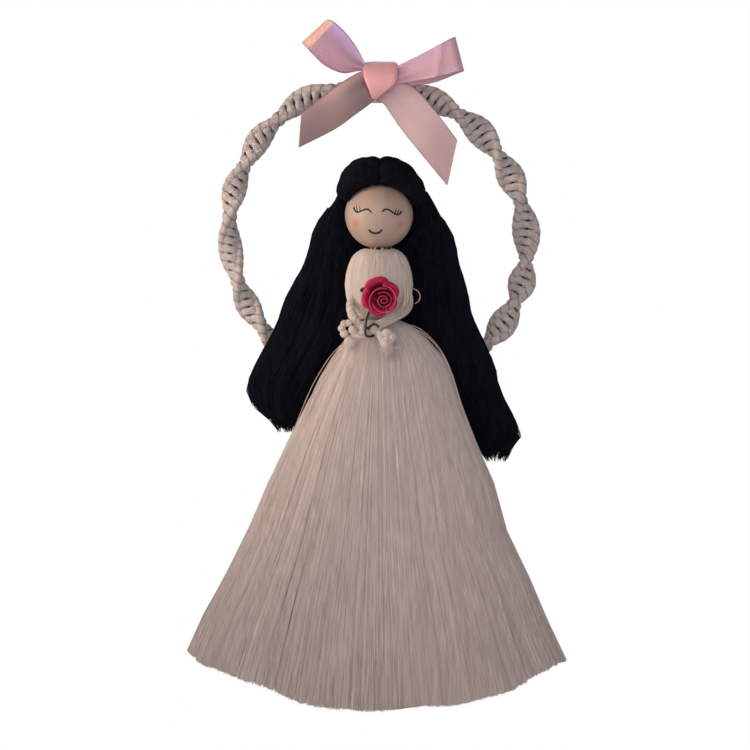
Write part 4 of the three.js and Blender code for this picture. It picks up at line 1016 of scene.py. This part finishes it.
bow = {
    "top": 6.2, "width": 13.5, "sheet": 0.28, "band": 6.2, "pad": 7.0, "tilt": 40, "knotHalf": 6.5,
    "steps": 96, "turnAt": 0.87, "puff": 2.5,  # steps along a ribbon, where a loop turns back, how full it is
    "loopSlack": 1.12, "tailSlack": 1.15,  # how much longer a ribbon is than its plain path
    "waveBand": 0.628,  # one band of the wave texture
    "knotBand": [(-180, 0.7), (-120, 0.62), (-60, 0.6), (-35, 0.75), (-15, 1), (90, 1), (180, 0.7)],
    "knotWidths": [(-180, 0.5), (-60, 0.2), (-20, 0.09), (-10, 0.2), (0, 0.44), (10, 0.72), (20, 0.92), (35, 1),
                   (75, 1), (110, 0.8), (180, 0.5)],
    "knotShifts": [(-180, 0), (-60, -1.2), (-20, -2.0), (-10, -1.35), (0, -0.55), (10, 0.45), (20, 0.7), (40, 0.5),
                   (180, 0)],
    "loops": {  # upper and lower edge across and up, depth of the root, sag of the back layer, crease
        "left": ([(-4.8, 15.5), (-5.8, 18.2), (-7.2, 21), (-9.3, 24.3), (-12.6, 28.5), (-16.9, 32.3), (-19.2, 33.0)],
                 [(-4.8, 14.1), (-7.2, 14.2), (-13.5, 13.6), (-19.9, 16.4), (-24.3, 20.3), (-27.5, 23.5),
                  (-28.6, 24.5)], -7.4, 0.5, 0.0),
        "right": ([(5.5, 15.5), (7.6, 16.3), (15.1, 19.9), (25.9, 25.7), (28.2, 26.7)],
                  [(5.5, 9.6), (7.1, 9.1), (18.7, 11.1), (27.9, 13.3), (31.5, 13.9)], -7.6, 1.8, 0.6),
    },
    "tails": {  # upper and lower edge, then depth along the tail
        "left": ([(-4, 14.1), (-6.8, 13.8), (-13, 10.3), (-18, 6.6), (-21, 4.4), (-28.7, -1.5)],
                 [(-1.8, 4.9), (-2.2, 2.7), (-9.6, -2.9), (-16.3, -7.6), (-29.7, -14.4)],
                 [(0, -8.6), (0.3, -10.8), (0.65, -9.8), (1, -10.6)]),
        "right": ([(5.5, 11.1), (7.7, 10.4), (13.5, 7.4), (20.3, -0.1), (28.9, -11.5)],
                  [(-1.6, 3.4), (0.4, 2.7), (2.2, 1.2), (7.7, -6.9), (14.2, -15.1), (25.2, -28.4)],
                  [(0, -6.4), (0.3, -7.0), (0.65, -8.8), (1, -7.8)]),
    },
}


def satinMaterial(name, low, high, rough, ribs, turnHighlight=None, edgeSheen=None, edgeSheenShare=0.8):
    material, tree, shader, coords = newMaterial(name, rough, 0.3, 0.45)
    shader.inputs["Sheen Tint"].default_value = (0.78, 0.66, 1.0, 1)
    shader.inputs["Anisotropic"].default_value = 0.5
    ribScale = [bow["waveBand"] * count for count in (*ribs, 0)]  # how many cross the length and the width
    scaled = put(tree, "VectorMath", {0: coords["UV"], 1: ribScale}, operation="MULTIPLY").outputs[0]
    waves = {"Vector": scaled, "Scale": 1.0, "Distortion": 0.5}
    lines = put(tree, "TexWave", waves, bands_direction="DIAGONAL").outputs["Fac"]
    split = put(tree, "SeparateXYZ", {0: coords["UV"]}).outputs

    def fromMiddle(share):
        return maths(tree, "ABSOLUTE", maths(tree, "SUBTRACT", share, 0.5))

    base = ramp(tree, lines, tone(*low), tone(*high), 0.2, 0.8)
    if edgeSheen:  # painted lilac sheen, towards the upper edge
        upper = mapRange(tree, split[1], 0.55, 1.0, 0.0, edgeSheenShare, "SMOOTHSTEP")
        base = mixTint(tree, upper, base, edgeSheen)
    if turnHighlight:  # painted peach highlight where the loop turns back on itself
        glow = mapRange(tree, fromMiddle(split[0]), 0.05, 0.075, 0.9, 0.0, "SMOOTHSTEP")
        base = mixTint(tree, glow, base, turnHighlight)
    selvedge = mapRange(tree, fromMiddle(split[1]), 0.455, 0.475, 0.0, 0.7)
    dress(tree, shader, mixTint(tree, selvedge, base, darker(tone(*low), 0.74)), lines, 0.3, 0.15)
    return material


# lilac and blush tint the satin towards its upper edge: painted sheen and painted highlight
lilacSheen, peachHighlight, blush = tone(206, 168, 222), tone(255, 196, 168), tone(206, 152, 154)
satinLoop = {
    "left": satinMaterial("satin_loop_left", (184, 134, 151), (200, 150, 166), 0.34, (76, 6), peachHighlight, lilacSheen),
    "right": satinMaterial("satin_loop_right", (206, 155, 166), (222, 172, 183), 0.34, (76, 6), None, lilacSheen, 0.4)}
satinKnot = satinMaterial("satin_knot", (224, 156, 158), (240, 174, 175), 0.4, (70, 14))
# the tails are the ribbon's duller reverse side; the left tail's much darker tint is painted shade
satinTail = {
    "left": satinMaterial("satin_tail_left_shaded", (138, 110, 108), (146, 117, 114), 0.4, (40, 5), None, blush, 0.6),
    "right": satinMaterial("satin_tail_right", (192, 155, 157), (213, 176, 177), 0.4, (30, -25))}


def ribbonEdges(*edges):  # both edges of a ribbon in even steps, and how long the ribbon is between them
    upper, lower = (smoothPath([(x, 0, z) for x, z in edge], bow["steps"] + 1) for edge in edges)
    return upper, lower, float(np.sum(stepLengths(upper + lower)))


def ribbonPiece(name, place, columns, material, node):
    obj = gridPiece(name, place, columns, 18, material, [node], thick=bow["sheet"],
                    body="bow", slotName="satin_ribbon")


def buildLoop(label):
    *edges, root, sag, crease = bow["loops"][label]
    upper, lower, run = ribbonEdges(*edges)
    turnAt, puff = bow["turnAt"], bow["puff"]

    def place(u, v):
        s = 1 - abs(2 * u - 1)
        i = int(round(s * bow["steps"]))
        layer = -1 if u > 0.5 else 1
        if s < turnAt:
            belly = puff * (1 - (1 - s / turnAt) ** 2)
        else:
            belly = puff * math.sqrt(max(0.0, 1 - ((s - turnAt) / (1 - turnAt)) ** 2))
        gather = 0.75 * (1 - s) ** 2.5 * math.cos(3.4 * math.pi * v + 0.8 * layer)
        spot = lower[i] + (upper[i] - lower[i]) * v
        drop = sag * math.sin(math.pi * s) if layer > 0 else 0
        ripple = 0.3 * math.sin(2.2 * math.pi * v + 2.5 * s) * math.sin(math.pi * s)
        ripple -= crease * math.exp(-(((s - 0.6 - 0.16 * v) / 0.07) ** 2)) * (layer < 0)
        return (spot[0], root + layer * (0.3 + belly) * min(1, (1 - s) * 20) + gather + ripple, spot[2] - drop)

    ribbonPiece(f"bow_loop_{label}_folded", place, bow["steps"],
                satinLoop[label], f"bow_loop_{label}")


def buildTail(label):
    *edges, depths = bow["tails"][label]
    upper, lower, run = ribbonEdges(*edges)
    depth = smoothPath([(40 * u, 0, y) for u, y in depths], bow["steps"] + 1)[:, 2]

    def place(u, v):
        i = int(round(u * bow["steps"]))
        spot = lower[i] + (upper[i] - lower[i]) * v
        gather = 0.6 * (1 - u) ** 2.5 * math.cos(3.4 * math.pi * v)
        gather += 0.35 * math.sin(fullTurn * v + 3 * u) * (1 - 0.6 * u)
        return (spot[0], depth[i] + gather, spot[2])

    ribbonPiece(f"bow_tail_{label}_cut", place, bow["steps"] // 2,
                satinTail[label], f"bow_tail_{label}")


def knot(u, v):
    bearing = 360 * u - 180
    turn = math.radians(bearing)
    share = 2 * v - 1
    front = max(0.0, math.cos(turn - math.radians(bow["tilt"]))) ** 1.5
    crease = 0.07 * front * math.cos(6 * share + 1.4 * math.sin(turn))
    reach = bow["band"] * along(bow["knotBand"], bearing) + bow["pad"] * front * (1 - 0.16 * abs(share) ** 7) + crease
    x = along(bow["knotShifts"], bearing) + share * bow["knotHalf"] * along(bow["knotWidths"], bearing)
    return (x, -reach * math.cos(turn), bow["top"] + reach * math.sin(turn))


gridPiece("bow_knot_tied", knot, 64, 26, satinKnot, ["bow_knot"], wrap=True, thick=0.4,
          body="bow", slotName="satin_ribbon")
for label, side in bothSides:
    buildLoop(label)
    buildTail(label)
print("bow tied")


# floor, light and camera

stage = {
    "floor": -0.3, "size": 3.2, "lens": 1000.0, "sensor": 36, "frameWidth": 275.7, "middle": (-1.47, -98.06),
    "ambient": 0.28,
    "lamps": [  # name, place, aim, power, size, spread in degrees, colour
        ("front", (-0.28, -1.3, 0.25), (0, -0.026, -0.09), 6.1, 0.9, 180, (1.0, 0.97, 0.94)),
        ("side", (-0.42, -0.15, 0.0), (0, -0.03, -0.045), 0.135, 0.14, 50, (1.0, 0.87, 0.7)),
        ("low", (-0.1, -1.2, -0.2), (0, -0.04, -0.215), 0.02, 0.3, 16, (1.0, 0.96, 0.92)),
        ("fill", (0.9, -0.9, 0.1), (0, -0.026, -0.09), 1.45, 0.9, 180, (0.85, 0.87, 1.0)),
        ("back", (0.2, 0.9, 0.6), (0, -0.026, -0.09), 2.0, 0.8, 180, (1.0, 1.0, 1.0)),
    ],
}


def seenAs(tree, *kinds):  # one where the ray is of either kind
    rays = put(tree, "LightPath").outputs
    return maths(tree, "MAXIMUM", *(rays[kind] for kind in kinds))


def blendShaders(tree, share, first, second, ending):
    blend = put(tree, "MixShader", {0: share, 1: first.outputs[0], 2: second.outputs[0]})
    tree.links.new(blend.outputs[0], tree.nodes[ending].inputs["Surface"])


def floorMaterial():
    material, tree, shader, coords = newMaterial("pale_floor", 0.9, 0.0, 0.5)
    shader.inputs["Base Color"].default_value = (0.95, 0.95, 0.95, 1)
    glow = put(tree, "Emission", {"Color": (1, 1, 1, 1), "Strength": 1.04})
    away = put(tree, "VectorMath", {0: coords["Object"]}, operation="LENGTH").outputs["Value"]
    fade = mapRange(tree, away, 0.6, 2.4, 0.86, 1.0, "SMOOTHSTEP")  # the floor goes to white before its edge
    share = maths(tree, "MULTIPLY", seenAs(tree, "Is Camera Ray", "Is Glossy Ray"), fade)
    blendShaders(tree, share, shader, glow, "Material Output")
    return material


def buildWorld():
    scene.world = bpy.data.worlds.new("studio")
    scene.world.use_nodes = True
    tree = scene.world.node_tree
    ambient = tree.nodes["Background"]
    ambient.inputs["Color"].default_value = (0.95, 0.95, 1.0, 1)
    ambient.inputs["Strength"].default_value = stage["ambient"]
    white = put(tree, "Background", {"Color": (1, 1, 1, 1)})
    blendShaders(tree, seenAs(tree, "Is Camera Ray", "Is Transmission Ray"), ambient, white, "World Output")


def buildStage():
    bm = bmesh.new()
    bmesh.ops.create_grid(bm, x_segments=2, y_segments=2, size=stage["size"])
    bmesh.ops.translate(bm, verts=bm.verts, vec=(0, 0, stage["floor"]))
    floor = meshObject("floor", bm)
    floor.data.materials.append(floorMaterial())
    scene.collection.objects.link(floor)
    buildWorld()
    for name, spot, goal, power, size, spreadAngle, colour in stage["lamps"]:
        lamp = bpy.data.lights.new(name, "AREA")
        lamp.energy, lamp.size, lamp.color = power, size, colour
        lamp.spread = math.radians(spreadAngle)
        holder = bpy.data.objects.new(name, lamp)
        holder.location = spot
        holder.rotation_euler = (Vector(goal) - Vector(spot)).to_track_quat("-Z", "Y").to_euler()
        scene.collection.objects.link(holder)

    camera = bpy.data.cameras.new("camera")
    camera.lens = stage["lens"]
    camera.sensor_width = stage["sensor"]
    eye = bpy.data.objects.new("camera", camera)
    away = stage["frameWidth"] * stage["lens"] / stage["sensor"]
    eye.location = (stage["middle"][0] * mm, (doll["y"] - away) * mm, stage["middle"][1] * mm)
    eye.rotation_euler = (math.pi / 2, 0, 0)
    scene.collection.objects.link(eye)
    scene.camera = eye
    print("stage set")


buildStage()
